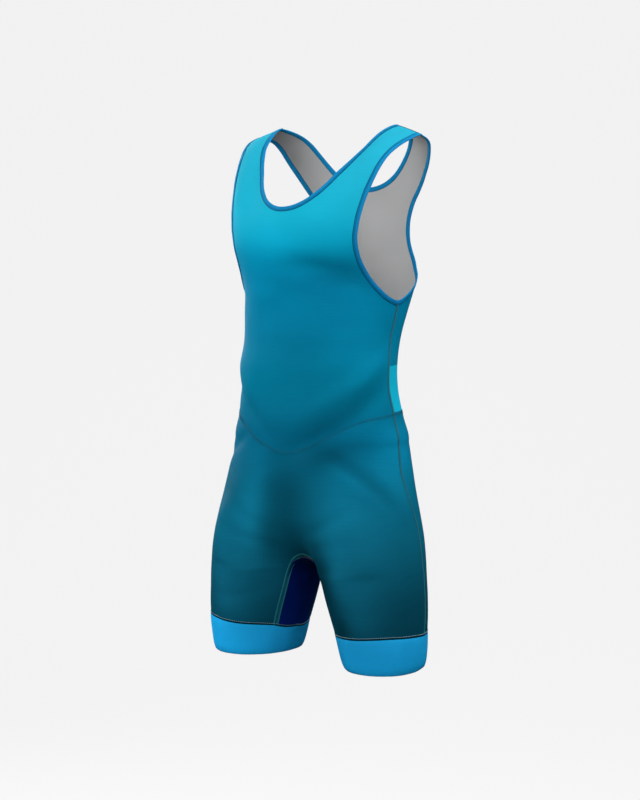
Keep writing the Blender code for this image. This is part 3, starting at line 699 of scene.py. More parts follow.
def knit(name, stops, roughness=0.55, sheen=0.02, block=None, streak=0.12, painted_shading=(), lines=()):
    """Knitted cloth whose colour follows the height. block is (lower, upper, colour), a band.

    Its list of soft spots is painted light, which makes the colour paler, and painted shade, which
    makes it deeper: (x, height, reach sideways, reach up, amount).
    lines lists soft lines along a strip: (distance from its middle, reach, amount).
    """
    material, g = new_material(name)
    place = g.node("ShaderNodeTexCoord", output="Object")
    uv = g.node("ShaderNodeUVMap", {"uv_map": "cloth"})
    x, height = g.axis(place, "X"), g.axis(place, "Z")
    u, v = g.axis(uv, "X"), g.axis(uv, "Y")

    steps = [(share_of_height(z), colour) for z, colour in sorted(stops)]
    colour = g.node("ShaderNodeValToRGB", {"stops": steps}, {"Fac": share_of_height(height)})
    if block:
        lower, upper, banded = block
        inside = (height > lower) * (height < upper)
        colour = g.node(
            "ShaderNodeMix", {"data_type": "RGBA"}, {0: inside, 6: colour, 7: (*banded, 1.0)}, 2
        )
    drawn = g.node("ShaderNodeCombineXYZ", inputs={"X": u * STREAKS_ALONG, "Y": v * STREAKS_UP})
    streaks = g.node("ShaderNodeTexNoise", inputs={"Vector": drawn, "Scale": 1.0, "Detail": 3.0})
    patches = g.node(
        "ShaderNodeTexNoise", inputs={"Vector": place, "Scale": PATCHES, "Detail": 2.0}
    )
    shade = 1.0 + (streaks - 0.5) * streak + (patches - 0.5) * PATCHINESS
    # painted light and painted shade: each soft spot makes the colour paler or deeper
    for middle, level, wide, tall, amount in painted_shading:
        off, up = (x - middle) * (1 / wide), (height - level) * (1 / tall)
        shade = shade * (1.0 + (off * off + up * up).bell() * amount)
    for middle, reach, amount in lines:
        off = (u - middle) * (1 / reach)
        shade = shade * (1.0 + (off * off).bell() * amount)
    shaded = g.node("ShaderNodeVectorMath", {"operation": "SCALE"}, {0: colour, "Scale": shade})
    rough = roughness + (streaks - 0.5) * ROUGH_STREAKS + (patches - 0.5) * PATCHINESS

    courses, wales = (v * (TWO_PI / COURSE)).sine(), (u * (TWO_PI / WALE)).sine()
    weave = courses * 0.6 + wales * 0.4 + streaks * 1.2
    bump = g.node(
        "ShaderNodeBump", inputs={"Strength": 0.35, "Distance": KNIT_DEPTH, "Height": weave}
    )
    shader = g.node("ShaderNodeBsdfPrincipled", inputs={
        "Base Color": shaded, "Roughness": rough, "Normal": bump, "Specular IOR Level": GLOSS,
        "Sheen Weight": sheen, "Sheen Roughness": 0.5, "Sheen Tint": (0.02, 0.70, 1.0, 1.0),
    })
    g.node("ShaderNodeOutputMaterial", inputs={"Surface": shader})
    return material


def both(spots):
    """The same soft spots on the left and the right."""
    return spots + [(-x, *others) for x, *others in spots]


print("courses of knit in a centimetre: %.1f" % (0.01 / COURSE))

# %% The panels' cloths
TRUNK_STOPS = [
    (0.000, (0.022, 0.385, 0.545)),
    (-0.080, (0.014, 0.390, 0.555)),
    (-0.140, (0.008, 0.395, 0.565)),
    (-0.180, (0.003, 0.345, 0.530)),
    (-0.210, (0.001, 0.262, 0.440)),
    (-0.240, (0.001, 0.210, 0.375)),
    (-0.320, (0.001, 0.188, 0.328)),
    (-0.400, (0.001, 0.180, 0.300)),
    (-0.440, (0.001, 0.150, 0.255)),
    (-0.480, (0.001, 0.120, 0.215)),
    (-0.560, (0.002, 0.115, 0.195)),
    (-0.640, (0.003, 0.112, 0.184)),
    (-0.720, (0.003, 0.083, 0.138)),
    (-0.800, (0.002, 0.050, 0.083)),
]
# The soft spots here are painted shade under the chest's left side, across the waist and above the
# hip seam, and painted light on the breastbone and the chest's right side.
upper_cloth = knit("upper_cloth", TRUNK_STOPS, painted_shading=[
    (0.085, -0.230, 0.045, 0.026, -0.26),  # under the chest's left side
    (0.020, -0.350, 0.065, 0.036, -0.18),  # the middle of the waist
    (-0.005, -0.185, 0.050, 0.032, 0.12),  # the breastbone
    (-0.060, -0.240, 0.030, 0.030, 0.10),  # the chest's right side
    (0.075, -0.468, 0.050, 0.020, -0.14),  # above the hip seam
])
back_cloth = knit(
    "back_cloth", TRUNK_STOPS, block=(-0.520, -0.377, (0.006, 0.400, 0.580))
)
# The soft spots here are painted light over the hips, on the thighs' fronts and on the right
# thigh's inner side, and painted shade around the fork, under the hip seam, beside the left leg
# band, on the right thigh's top, on the thighs' outer sides and on the left thigh's inner side.
lower_cloth = knit("lower_cloth", TRUNK_STOPS, streak=0.22, painted_shading=both([
    (0.173, -0.498, 0.031, 0.044, 0.45),  # the hips' sides
    (0.196, -0.565, 0.024, 0.042, 0.50),  # lower on the hips
    (0.104, -0.630, 0.032, 0.100, 0.28),  # the thighs' fronts
    (0.190, -0.735, 0.030, 0.070, -0.32),  # the thighs' outer sides
]) + [
    (0.192, -0.522, 0.026, 0.058, 0.60),  # the left hip
    (0.005, -0.580, 0.052, 0.055, -0.40),  # above the fork
    (0.060, -0.515, 0.042, 0.022, -0.28),  # under the hip seam
    (0.174, -0.500, 0.032, 0.046, 0.50),  # the left hip's front
    (0.058, -0.700, 0.024, 0.060, -0.62),  # the left thigh's inner side
    (0.080, -0.700, 0.020, 0.040, -0.42),  # the same, further round
    (0.084, -0.750, 0.020, 0.040, -0.36),  # the same, lower
    (0.106, -0.785, 0.022, 0.040, -0.50),  # beside the left leg band
    (0.086, -0.505, 0.035, 0.020, -0.22),  # under the hip seam's left half
    (0.010, -0.640, 0.036, 0.040, -0.28),  # just above the crotch
    (0.132, -0.760, 0.030, 0.060, 0.36),  # the left thigh, low in front
    (-0.115, -0.775, 0.036, 0.045, 0.34),  # the right thigh, low in front
    (-0.033, -0.655, 0.018, 0.035, -0.30),  # right of the crotch
    (-0.045, -0.605, 0.022, 0.070, 0.50),  # where the right thigh starts
    (-0.068, -0.650, 0.022, 0.060, 0.28),  # the right thigh's inner side
    (-0.108, -0.585, 0.028, 0.050, -0.30),  # the right thigh's top
    (-0.105, -0.750, 0.045, 0.055, 0.34),  # the right thigh's front
    (-0.165, -0.640, 0.030, 0.080, -0.22),  # the right thigh's outer side
])
# The gusset's colour deepens upwards towards the fork; that deepening is painted shade.
gusset_cloth = knit("gusset_cloth", [
    (-0.80, (0.001, 0.013, 0.130)), (-0.72, (0.001, 0.009, 0.105)), (-0.67, (0.001, 0.004, 0.045)),
])
# The soft spot on the leg bands is painted light on the front of the right band.
cuff_cloth = knit(
    "cuff_cloth", [(-0.86, (0.008, 0.310, 0.650)), (-0.79, (0.012, 0.340, 0.700))],
    roughness=0.52, painted_shading=[(-0.130, -0.825, 0.045, 0.060, 0.40)],
)
# The lining is pale unprinted knit; this grey is partly its own colour and partly painted shade.
LINING_GREY = (0.430, 0.430, 0.430)
# The soft spots in the lining are painted shade inside the straps and low in the armholes.
lining = knit(
    "lining", [(-0.60, LINING_GREY), (0.0, LINING_GREY)], roughness=0.8, sheen=0.0, streak=0.03,
    painted_shading=both([(0.148, -0.050, 0.030, 0.045, -0.36), (0.165, -0.240, 0.030, 0.030, -0.22)]),
)
print("cloths:", [m.name for m in bpy.data.materials if m.name.endswith(("cloth", "lining"))])

# %% The tapes' cloths
BINDING_WIDTH = 0.0080
SIDE_SEAM, ARCH_SEAM, CUFF_SEAM = 0.0054, 0.0100, 0.0032  # the strips' widths

# The two dark lines on the binding are painted shade: one in the groove of the stitch line, one
# along the edge beside the panel.
binding_cloth = knit(
    "binding_cloth", [(-0.28, (0.004, 0.180, 0.405)), (0.0, (0.008, 0.225, 0.470))],
    roughness=0.5, lines=[(0.0024, 0.0008, -0.35), (0.0043, 0.0010, -0.65)],
)
side_tape = knit(
    "side_tape", [
        (-0.80, (0.016, 0.135, 0.180)), (-0.62, (0.020, 0.150, 0.200)),
        (-0.48, (0.020, 0.160, 0.225)), (-0.27, (0.030, 0.200, 0.280)),
    ],
    lines=[(-0.34 * SIDE_SEAM, 0.20 * SIDE_SEAM, -0.50)],
)
arch_tape = knit(
    "arch_tape", [(-0.80, (0.007, 0.080, 0.108)), (-0.68, (0.008, 0.090, 0.120))],
    lines=[(rim * ARCH_SEAM, 0.12 * ARCH_SEAM, 1.0) for rim in (-0.36, 0.36)],
)
dark_tape = knit("dark_tape", [(-0.80, (0.001, 0.020, 0.034)), (0.0, (0.002, 0.060, 0.120))])
print("tapes:", [m.name for m in bpy.data.materials if m.name.endswith("tape")])

# %% [markdown]
# ## Panels
#
# Each panel is one piece of knit less than a millimetre thick. A grid would crowd its points where
# the armholes cut in, so the panel is filled with an even triangular lattice instead, joined to
# its edge by a Delaunay triangulation in the flat, and only then laid on the figure. Both faces
# are built, because the inside shows through the neck and armholes. There the knit is unprinted
# and pale, and its grey is partly painted shade.

# %% Sheets of triangles
CLOTH = 0.0009  # the knit's thickness
PANEL_STEP = 0.0058  # the size of a panel's triangles
CLEAR = 0.55  # how far the triangles' corners keep from an edge, as a share of their size
PORTION = 1500  # points that are tried at a time
SHARP = math.radians(55)  # edges bent further than this aren't shaded as round
pieces = {}  # every piece of the garment, by its name


def lattice(outline, step):
    """Points of a triangular lattice inside an outline and clear of it, in the flat."""
    centre = (outline[:, 0].min() + outline[:, 0].max()) / 2
    half_columns = math.ceil((outline[:, 0].max() - centre) / step) + 1
    row_height = step * math.sqrt(3) / 2
    rows = np.arange(math.ceil(np.ptp(outline[:, 1]) / row_height))
    columns = np.arange(-half_columns, half_columns + 1)
    grid_x = centre + (columns[None] + 0.5 * (rows[:, None] % 2)) * step
    grid_y = outline[:, 1].min() + (rows[:, None] + 0.5) * row_height + 0 * columns[None]
    points = np.stack([grid_x.ravel(), grid_y.ravel()], -1)
    start, end = outline, np.roll(outline, -1, 0)
    run = end - start
    kept = []
    for part in np.array_split(points, max(1, len(points) // PORTION)):
        clearance = nearest_on(part, start, end)[1].min(1)
        crosses = (start[:, 1] > part[:, 1, None]) != (end[:, 1] > part[:, 1, None])
        with np.errstate(divide="ignore", invalid="ignore"):
            crossing_x = start[:, 0] + (part[:, 1, None] - start[:, 1]) * run[:, 0] / run[:, 1]
        inside = (crosses & (part[:, 0, None] < crossing_x)).sum(1) % 2 == 1
        kept.append(part[inside & (clearance > CLEAR * step)])
    return np.concatenate(kept)


def inwards_moves(spots, normals, distances):
    """The vectors that move each point of a closed outline inwards.

    The outline runs counter-clockwise, seen from outside.
    """
    edges = np.roll(spots, -1, 0) - spots
    moves = []
    for i, normal in enumerate(normals):
        before, after = unit(np.cross(normal, edges[i - 1])), unit(np.cross(normal, edges[i]))
        system = np.array([before, after, normal])
        moves.append(np.linalg.lstsq(system, [distances[i - 1], distances[i], 0], rcond=0.03)[0])
    return np.array(moves)


square = np.array([(0, 0), (0.05, 0), (0.05, 0.05), (0, 0.05)])
print("triangle corners inside a 50 mm square:", len(lattice(square, PANEL_STEP)))

# %% Meshes and shells


def make_mesh(name, vertices, faces, materials, slots=None, uvs=None):
    """An object at the origin. slots and uvs are given face by face and vertex by vertex."""
    mesh = bpy.data.meshes.new(name)
    mesh.from_pydata([tuple(map(float, v)) for v in vertices], [], faces)
    for material in materials:
        mesh.materials.append(material)
    if slots is not None:
        mesh.polygons.foreach_set("material_index", np.asarray(slots, dtype=np.int32))
    if uvs is not None:
        corners = np.empty(len(mesh.loops), dtype=np.int32)
        mesh.loops.foreach_get("vertex_index", corners)
        layer = mesh.uv_layers.new(name="cloth")
        layer.data.foreach_set("uv", np.asarray(uvs, dtype=np.float32)[corners].ravel())
    mesh.shade_smooth()
    mesh.set_sharp_from_angle(angle=SHARP)
    piece = bpy.data.objects.new(name, mesh)
    bpy.context.scene.collection.objects.link(piece)
    pieces[name] = piece
    return piece


def make_cloth(name, spots, normals, faces, uvs, outer):
    """A closed thin shell round a sheet of points, with the lining inside."""
    count = len(spots)
    vertices = np.concatenate([spots + normals * CLOTH / 2, spots - normals * CLOTH / 2])
    edges = {(face[i - 1], face[i]) for face in faces for i in range(len(face))}
    rim = [(b, a, a + count, b + count) for a, b in sorted(edges) if (b, a) not in edges]
    inside = [tuple(v + count for v in reversed(face)) for face in faces]
    slots = [0] * len(faces) + [1] * len(inside) + [0] * len(rim)
    uvs = np.concatenate([uvs, uvs])
    piece = make_mesh(name, vertices, list(faces) + inside + rim, [outer, lining], slots, uvs)
    print(name, len(piece.data.polygons), "faces")


def laid(places):
    """Points of the cloth, with its creases, and the figure's normals there."""
    spots, normals, _ = surface(places)
    return spots + normals * relief(places)[:, None], normals


def make_panel(name, edges, outer):
    """A panel of cloth.

    edges lists its outline, counter-clockwise from outside, each with how far short of it the
    cloth stops.
    """
    outline = np.concatenate([places[:-1] for places, _ in edges])
    distances = np.concatenate([[short] * (len(places) - 1) for places, short in edges])
    spots, normals, _ = surface(outline)
    outline = slide(outline, inwards_moves(spots, normals, distances))
    flat = outline * FLAT_SCALE
    flat = np.concatenate([flat, lattice(flat, PANEL_STEP)])
    border = list(range(len(outline)))
    flat, _, faces, _, _, _ = delaunay_2d_cdt([Vector(p) for p in flat], [], [border], 1, 1e-7)
    flat = np.array(flat)
    spots, normals = laid(flat / FLAT_SCALE)
    make_cloth(name, spots, normals, [tuple(face) for face in faces], flat, outer)


print("the knit is %.1f mm thick" % (1000 * CLOTH))

# %% [markdown]
# The body panels stop 3 mm inside the fold of the bindings, as on the real garment, and reach the
# shared seam curves everywhere else.

# %% The four panels
SEWN = 0.00005  # the panels stop this far short of a seam
BOUND = BINDING_WIDTH - 0.0030  # and this far short of a bound edge

make_panel("front_body_cloth", [
    (front_hip[::-1], SEWN), (side_upper[::-1], SEWN), (arm_front_left[::-1], BOUND),
    (shoulder_front, SEWN), (front_neck, BOUND), (mirrored(shoulder_front), SEWN),
    (mirrored(arm_front_left[::-1]), BOUND), (mirrored(side_upper[::-1]), SEWN),
], upper_cloth)
make_panel("back_body_cloth", [
    (back_hip, SEWN), (mirrored(side_upper, 180), SEWN),
    (mirrored(arm_back_left[::-1], 180), BOUND), (mirrored(shoulder_back[::-1], 180), SEWN),
    (back_neck[::-1], BOUND), (shoulder_back[::-1], SEWN), (arm_back_left[::-1], BOUND),
    (side_upper, SEWN),
], back_cloth)
make_panel("front_shorts_cloth", [
    (mirrored(cuff_front), SEWN), (front_arch[::-1], SEWN), (cuff_front, SEWN),
    (side_lower[::-1], SEWN), (front_hip, SEWN), (mirrored(side_lower[::-1]), SEWN),
], lower_cloth)
make_panel("back_shorts_cloth", [
    (cuff_back, SEWN), (back_arch, SEWN), (mirrored(cuff_back, 180), SEWN),
    (mirrored(side_lower, 180), SEWN), (back_hip[::-1], SEWN), (side_lower, SEWN),
], lower_cloth)

# %% [markdown]
# ## Gusset
#
# The gusset is a separate navy piece under the fork, from one leg band over the arch to the other.
# Its two long edges are the arch seams, and between them it follows the figure's underside, which
# (turn, along) can't reach well. So its points are found by walking out from a line between the
# legs.

# %% The gusset's helpers
FORK_REACH, LEG_REACH = 0.17, 0.12  # further than the cloth lies from the line between the legs
SLOPE_STEP = 0.0002  # in metres


def under_crotch(fan, depth):
    """A point of the underside. fan is the angle from straight up to the left; depth is y."""
    zero = np.zeros_like(fan)

    def beyond(r):
        level = CUFF_TOP + r * np.cos(fan)
        return -outside(r * np.sin(fan), depth, section_at(level))

    reach = root(beyond, zero, zero + FORK_REACH)
    return np.stack([reach * np.sin(fan), depth, CUFF_TOP + reach * np.cos(fan)], -1)


def inner_side(side, depth, level):
    """A point of the inner side of the left (1) or right (-1) leg."""
    zero, section = np.zeros_like(depth), section_at(level)
    reach = root(lambda r: -outside(side * r, depth, section), zero, zero + LEG_REACH)
    return np.stack([side * reach, depth, level], -1)


def outward(spots):
    """The normals of the trunk and legs, from how fast a point leaves the figure."""
    slopes = []
    for axis in np.eye(3):
        ahead, behind = spots + SLOPE_STEP * axis, spots - SLOPE_STEP * axis
        gaps = [outside(at[..., 0], at[..., 1], section_at(at[..., 2])) for at in (ahead, behind)]
        slopes.append(gaps[0] - gaps[1])
    return unit(np.stack(slopes, -1))


def grid_faces(rows, columns, round_columns=False, round_rows=False):
    """Quads of a grid whose rows go down and whose columns go to the right, seen from outside."""
    faces = []
    for row in range(rows if round_rows else rows - 1):
        for left in range(columns if round_columns else columns - 1):
            right = (left + 1) % columns
            here, below = row * columns, (row + 1) % rows * columns
            faces.append((here + left, below + left, below + right, here + right))
    return faces


fork = under_crotch(np.zeros(1), np.full(1, -0.05))[0]
print("the fork is %.0f mm above the leg bands" % (1000 * (fork[2] - CUFF_TOP)))

# %% The gusset
GUSSET_COLUMNS = 26
STRIP_POINTS = 60
END_ROWS = 5  # rows at each end that are drawn down to the leg band
END_BOW = 0.009  # how much further down the middle of each end goes
DIMPLE, SUNK = 0.0012, 0.0004  # the depth of the soft dimples, and of the whole gusset
GUSSET_UV_STEP = 0.0045

gusset_grid = []
for fan, front, back in zip(front_fans, laid(front_arch)[0], laid(back_arch)[0]):
    depths = np.linspace(front[1], back[1], STRIP_POINTS)
    lengths = distances_along(under_crotch(np.full_like(depths, fan), depths))
    even = np.interp(np.linspace(0, lengths[-1], GUSSET_COLUMNS), lengths, depths)
    gusset_grid.append(under_crotch(np.full_like(even, fan), even))
gusset_grid = np.array(gusset_grid)
bottom = ARCH_END - END_BOW * (1 - np.linspace(-1, 1, GUSSET_COLUMNS) ** 2)
for end in (gusset_grid[END_ROWS::-1], gusset_grid[-END_ROWS - 1 :]):
    side = math.copysign(1, end[-1, 0, 0])
    top = end[0, :, 2].copy()
    for row in range(1, END_ROWS + 1):
        end[row] = inner_side(side, end[row, :, 1], top + (bottom - top) * row / END_ROWS)
gusset_normals = outward(gusset_grid)
gusset_rows = len(gusset_grid)
row_at, column_at = np.mgrid[0:gusset_rows, 0:GUSSET_COLUMNS]
bulge = np.sin(np.pi * column_at / (GUSSET_COLUMNS - 1))
dimples = DIMPLE * bulge * np.sin(row_at * 0.33 + 1.3 * np.sin(column_at * 0.4)) ** 3
gusset_spots = gusset_grid - gusset_normals * (dimples + SUNK)[..., None]
gusset_uvs = np.stack([column_at * GUSSET_UV_STEP, row_at * EDGE_STEP], -1)
make_cloth(
    "gusset_cloth", gusset_spots.reshape(-1, 3), gusset_normals.reshape(-1, 3),
    grid_faces(gusset_rows, GUSSET_COLUMNS), gusset_uvs.reshape(-1, 2), gusset_cloth,
)

# %% [markdown]
# ## Leg bands
#
# A leg band is a strip of knit folded double: the fold is the hem, and both raw edges are sewn to
# the leg. A plain wall would end in a hard edge. Here the section goes down the outside, round the
# fold and up the inside, with the hem drawn in a little as elastic does, and it is swept round the
# leg.

# %% The leg bands' section
CUFF_THICK = 0.0022
CUFF_LEVELS, FOLD_POINTS = 15, 7  # points down a side of the section, and round the fold
DRAWN_IN, DRAWN_HEIGHT = 0.0016, 0.012  # how far the hem is drawn in, and over what height
PUFF = 0.0006  # how far the middle of the band stands out
SEAM_DIP, DIP_HEIGHT = 0.0006, 0.004  # how far the seam presses the top edge in


def cuff_section():
    """(level, offset) points down the outside, round the fold and up the inside."""
    half = CUFF_THICK / 2
    levels = np.linspace(CUFF_TOP, CUFF_HEM + half, CUFF_LEVELS)
    drawn = DRAWN_IN * np.clip((CUFF_HEM + DRAWN_HEIGHT - levels) / DRAWN_HEIGHT, 0, 1) ** 2
    puff = PUFF * np.sin(np.pi * (levels - CUFF_HEM) / (CUFF_TOP - CUFF_HEM)) ** 0.7
    dip = SEAM_DIP * np.clip(1 - (CUFF_TOP - levels) / DIP_HEIGHT, 0, 1)
    outer = list(zip(levels, half - drawn + puff - dip))
    fold = [
        (CUFF_HEM + half - half * math.sin(a), half * math.cos(a) - DRAWN_IN)
        for a in np.linspace(0, math.pi, FOLD_POINTS)[1:-1]
    ]
    inner = list(zip(levels, -half - drawn))[::-1]
    return np.array(outer + fold + inner)


print("leg bands: %.0f mm deep" % (1000 * (CUFF_TOP - CUFF_HEM)))

# %% The leg bands
CUFF_STATIONS = 200
CUFF_TURNS = np.arange(CUFF_STATIONS) * 180 / CUFF_STATIONS
MIRROR = np.array([-1, 1, 1])
FOLDS_AT_HEM = 0.3  # how strong the folds still are at the hem
WAVES_FROM = 0.02  # this far under its top the band has its full fine waves


def make_cuff(name, side):
    section = cuff_section()
    rings, uvs = [], []
    for (level, offset), run in zip(section, distances_along(section)):
        share = np.clip((level - CUFF_HEM) / (CUFF_TOP - CUFF_HEM), 0, 1)
        levels = level + (cuff_top(CUFF_TURNS) - CUFF_TOP) * share
        ring = trunk_point(CUFF_TURNS, levels)
        out = outward(ring)
        out[..., 2] = 0
        form = relief(np.stack([side * CUFF_TURNS, levels], -1))
        form = form * (FOLDS_AT_HEM + (1 - FOLDS_AT_HEM) * share)
        angles = np.radians(CUFF_TURNS)
        wave = 0.00035 * np.sin(angles * 10 + side) + 0.00025 * np.sin(angles * 22)
        fade = np.clip((CUFF_TOP - level) / WAVES_FROM, 0, 1)
        rings.append(ring + unit(out) * (offset + wave * fade + form)[:, None])
        lengths = distances_along(ring)
        uvs.append(np.stack([lengths, np.full_like(lengths, -run)], -1))
    grid, uvs = np.array(rings), np.array(uvs)
    if side < 0:
        grid, uvs = grid[:, ::-1] * MIRROR, uvs[:, ::-1]
    faces = grid_faces(len(section), CUFF_STATIONS, round_columns=True, round_rows=True)
    piece = make_mesh(name, grid.reshape(-1, 3), faces, [cuff_cloth], None, uvs.reshape(-1, 2))
    print(name, len(piece.data.polygons), "faces")


make_cuff("cuff_left_cloth", 1)
make_cuff("cuff_right_cloth", -1)

# %% [markdown]
# ## Bindings
#
# The neck and armholes are edged with a strip of knit folded over the raw edge and topstitched. A
# bevelled curve could do, but its twist is hard to hold to the cloth. The strip is swept in mesh
# code with a flat, rounded section: full at the fold, and pressed thinner at the stitch line
# beside the panel. Its width breathes by a few tenths of a millimetre.

# %% Sweeping a strip


def waver(runs, *waves):
    """Close to 1 all along a strip, with some waves."""
    return 1 + sum(amount * np.sin(runs * rate + start) for amount, rate, start in waves)[:, None]


def sweep(name, frame, across_by, up_by, u, cloth, closed=True):
    """A strip along a frame, which holds middles, sideways directions and normals.

    across_by and up_by place each point of the section at each station, and u is its place on
    the cloth.
    """
    middles, sideways, normals = (vectors[:, None] for vectors in frame)
    vertices = middles + sideways * across_by[..., None] + normals * up_by[..., None]
    count, sides = across_by.shape
    v = np.broadcast_to(distances_along(frame[0])[:, None], (count, sides))
    uvs = np.stack([np.broadcast_to(u, (count, sides)), v], -1)
    faces = grid_faces(count, sides, round_columns=True, round_rows=closed)
    if not closed:
        last = range((count - 1) * sides, count * sides)
        faces += [tuple(range(sides)), tuple(reversed(last))]
    make_mesh(name, vertices.reshape(-1, 3), faces, [cloth], None, uvs.reshape(-1, 2))


# Each wave is (amount, radians a metre, start).
BREATH = (0.025, 61, 0), (0.02, 143, 1)
PUFFS = (0.06, 97, 2), (0.05, 211, 0)
SEAM_SWING = (0.03, 83, 0), (0.02, 190, 1)
breaths = waver(np.linspace(0, 1, 500), *BREATH)
print("a binding's width varies by %.1f%%" % (100 * np.ptp(breaths)))

# %% The bindings
BINDING_THICK = 0.0026
BINDING_UV_LIFT = 0.001  # keeps the two faces apart on the cloth
# Round the section: share of the half-width from the opening (-1) to the panel (1), and thickness.
BINDING_FACE = [
    (-1.00, 0.00), (-0.97, 0.40), (-0.88, 0.72), (-0.70, 0.93), (-0.40, 1.00), (-0.05, 0.98),
    (0.30, 0.90), (0.48, 0.70), (0.60, 0.66), (0.72, 0.78), (0.88, 0.74), (0.97, 0.50),
    (1.00, 0.20),
]
BINDING_SECTION = np.array(BINDING_FACE + [(w, -t) for w, t in BINDING_FACE[:0:-1]])


def binding_frame(loop):
    """Along an opening's edge, with the cloth on its left."""
    spots, normals, _ = surface(loop)
    tangents = unit(np.roll(spots, -1, 0) - np.roll(spots, 1, 0))
    into_cloth = unit(np.cross(normals, tangents))
    far_spots = figure(*slide(loop, into_cloth * BINDING_WIDTH).T)
    wide = unit(far_spots - spots)
    middles = (spots + far_spots) / 2 + normals * relief(loop)[:, None]
    return middles, wide, unit(np.cross(tangents, wide))


def make_binding(name, loop):
    frame = binding_frame(loop)
    runs = distances_along(frame[0])
    half_width, half_thick = BINDING_WIDTH / 2, BINDING_THICK / 2
    w, t = BINDING_SECTION.T
    sweep(
        name, frame, w * waver(runs, *BREATH) * half_width,
        t * waver(runs, *PUFFS) * half_thick,
        w * half_width + BINDING_UV_LIFT * t, binding_cloth,
    )
    print(name, len(loop), "stations")


LOOPS = {
    "neck_binding_strip": np.concatenate([front_neck[:-1], back_neck[:0:-1]]),
    "armhole_binding_left_strip": np.concatenate([arm_front_left[:0:-1], arm_back_left[:0:-1]]),
    "armhole_binding_right_strip": np.concatenate([
        mirrored(arm_front_left[::-1])[:-1], mirrored(arm_back_left[::-1], 180)[:-1]
    ]),
}
for name, loop in LOOPS.items():
    make_binding(name, loop)

# %% [markdown]
# ## Seams
#
# The panels are joined edge to edge with flatlock seams: a flat ladder of thread over the join,
# with the cloth under it pressed into a low strip. Each seam gets a raised strip that wraps both
# faces of the cloth, and the thread goes on top of it. The strip is a swept section again, and so
# it bends with the folds. The seam over the arch is wider, with two firm rims.

# %% The seams' frames
# Across one face of a strip: share of the half-width, and share of how far it stands out.
FLAT_SEAM = [
    (-1.0, 0.10), (-0.93, 0.62), (-0.72, 0.92), (-0.35, 0.86), (0.0, 0.55), (0.35, 0.86),
    (0.72, 0.92), (0.93, 0.62), (1.0, 0.10),
]
RIMMED_SEAM = [
    (-1.0, 0.10), (-0.92, 0.75), (-0.74, 1.0), (-0.56, 0.66), (-0.28, 0.42), (0.0, 0.38),
    (0.28, 0.42), (0.56, 0.66), (0.74, 1.0), (0.92, 0.75), (1.0, 0.10),
]
INSIDE_SHARE = 0.8  # a strip stands off the inner face by less


def seam_frame(curve):
    """Along a curve on the cloth: points, sideways directions and normals."""
    spots, normals = laid(curve)
    tangents = unit(np.gradient(spots, axis=0))
    sideways = unit(np.cross(normals, tangents))
    return spots, sideways, unit(np.cross(tangents, sideways))


def band_frame(side):
    """Round the closed top edge of a leg band: points, sideways directions and normals."""
    levels = cuff_top(CUFF_TURNS)
    ring = trunk_point(CUFF_TURNS, levels)
    normals = outward(ring)
    ring = ring + normals * relief(np.stack([side * CUFF_TURNS, levels], -1))[:, None]
    if side < 0:
        ring, normals = ring[::-1] * MIRROR, normals[::-1] * MIRROR
    tangents = unit(np.roll(ring, -1, 0) - np.roll(ring, 1, 0))
    return ring, unit(np.cross(normals, tangents)), normals


band_frames = {"left": band_frame(1), "right": band_frame(-1)}
print("round a leg band: %.3f m" % distances_along(band_frames["left"][0])[-1])

# %% The seams' strips


def make_seam(name, frame, width, proud, section, cloth, closed=False):
    """A low strip along a frame; proud is how far it stands off each face of the cloth."""
    outline = section + [(w, -t * INSIDE_SHARE) for w, t in section[::-1]]
    w, t = np.array(outline).T
    across_by = w * waver(distances_along(frame[0]), *SEAM_SWING) * width / 2
    up_by = np.broadcast_to(np.copysign(CLOTH / 2, t) + t * proud, across_by.shape)
    sweep(name, frame, across_by, up_by, w * width / 2, cloth, closed)


HIPS = [front_hip, back_hip]
SIDES = [side_upper, side_lower, mirrored(side_upper), mirrored(side_lower)]
SHOULDERS = [shoulder_front, mirrored(shoulder_front)]
ARCH_SEAMS = [front_arch, back_arch[::-1]]
ARCH_PROUD = 0.0010
Strip = namedtuple("Strip", "width proud section cloth")
HIP_STRIP = Strip(0.0070, 0.00010, FLAT_SEAM, lower_cloth)
SIDE_STRIP = Strip(SIDE_SEAM, 0.00018, FLAT_SEAM, side_tape)
SHOULDER_STRIP = Strip(0.0028, 0.0003, FLAT_SEAM, dark_tape)
ARCH_STRIP = Strip(ARCH_SEAM, ARCH_PROUD, RIMMED_SEAM, arch_tape)
CUFF_STRIP = Strip(CUFF_SEAM, 0.0006, FLAT_SEAM, dark_tape)
for strip, curves, names in [
    (HIP_STRIP, HIPS, ["front_hip_seam", "back_hip_seam"]),
    (SIDE_STRIP, SIDES, [
        "side_seam_left_upper", "side_seam_left_lower", "side_seam_right_upper",
        "side_seam_right_lower",
    ]),
    (ARCH_STRIP, ARCH_SEAMS, ["front_arch_seam", "back_arch_seam"]),
    (SHOULDER_STRIP, SHOULDERS, ["shoulder_seam_left", "shoulder_seam_right"]),
]:
    for name, curve in zip(names, curves):
        make_seam(name, seam_frame(curve), *strip)
for side, frame_round in band_frames.items():
    make_seam("cuff_seam_" + side, frame_round, *CUFF_STRIP, closed=True)
print(len([name for name in pieces if "_seam" in name]), "seam strips")

# %% [markdown]
# ## Stitches
#
# Thousands of stitches follow the seams, so they are the job of Geometry Nodes. A guide mesh holds
# the lines, with the cloth's normal on each point. The tree turns it into curves, resamples them
# at the stitch pitch, puts one small bead of thread on every point, turns it to the line and to
# the cloth, and leans every other one over for a zigzag. The beads are then made real, because an
# export knows no instances, and one plain mesh is kept.

# %% The stitch tree


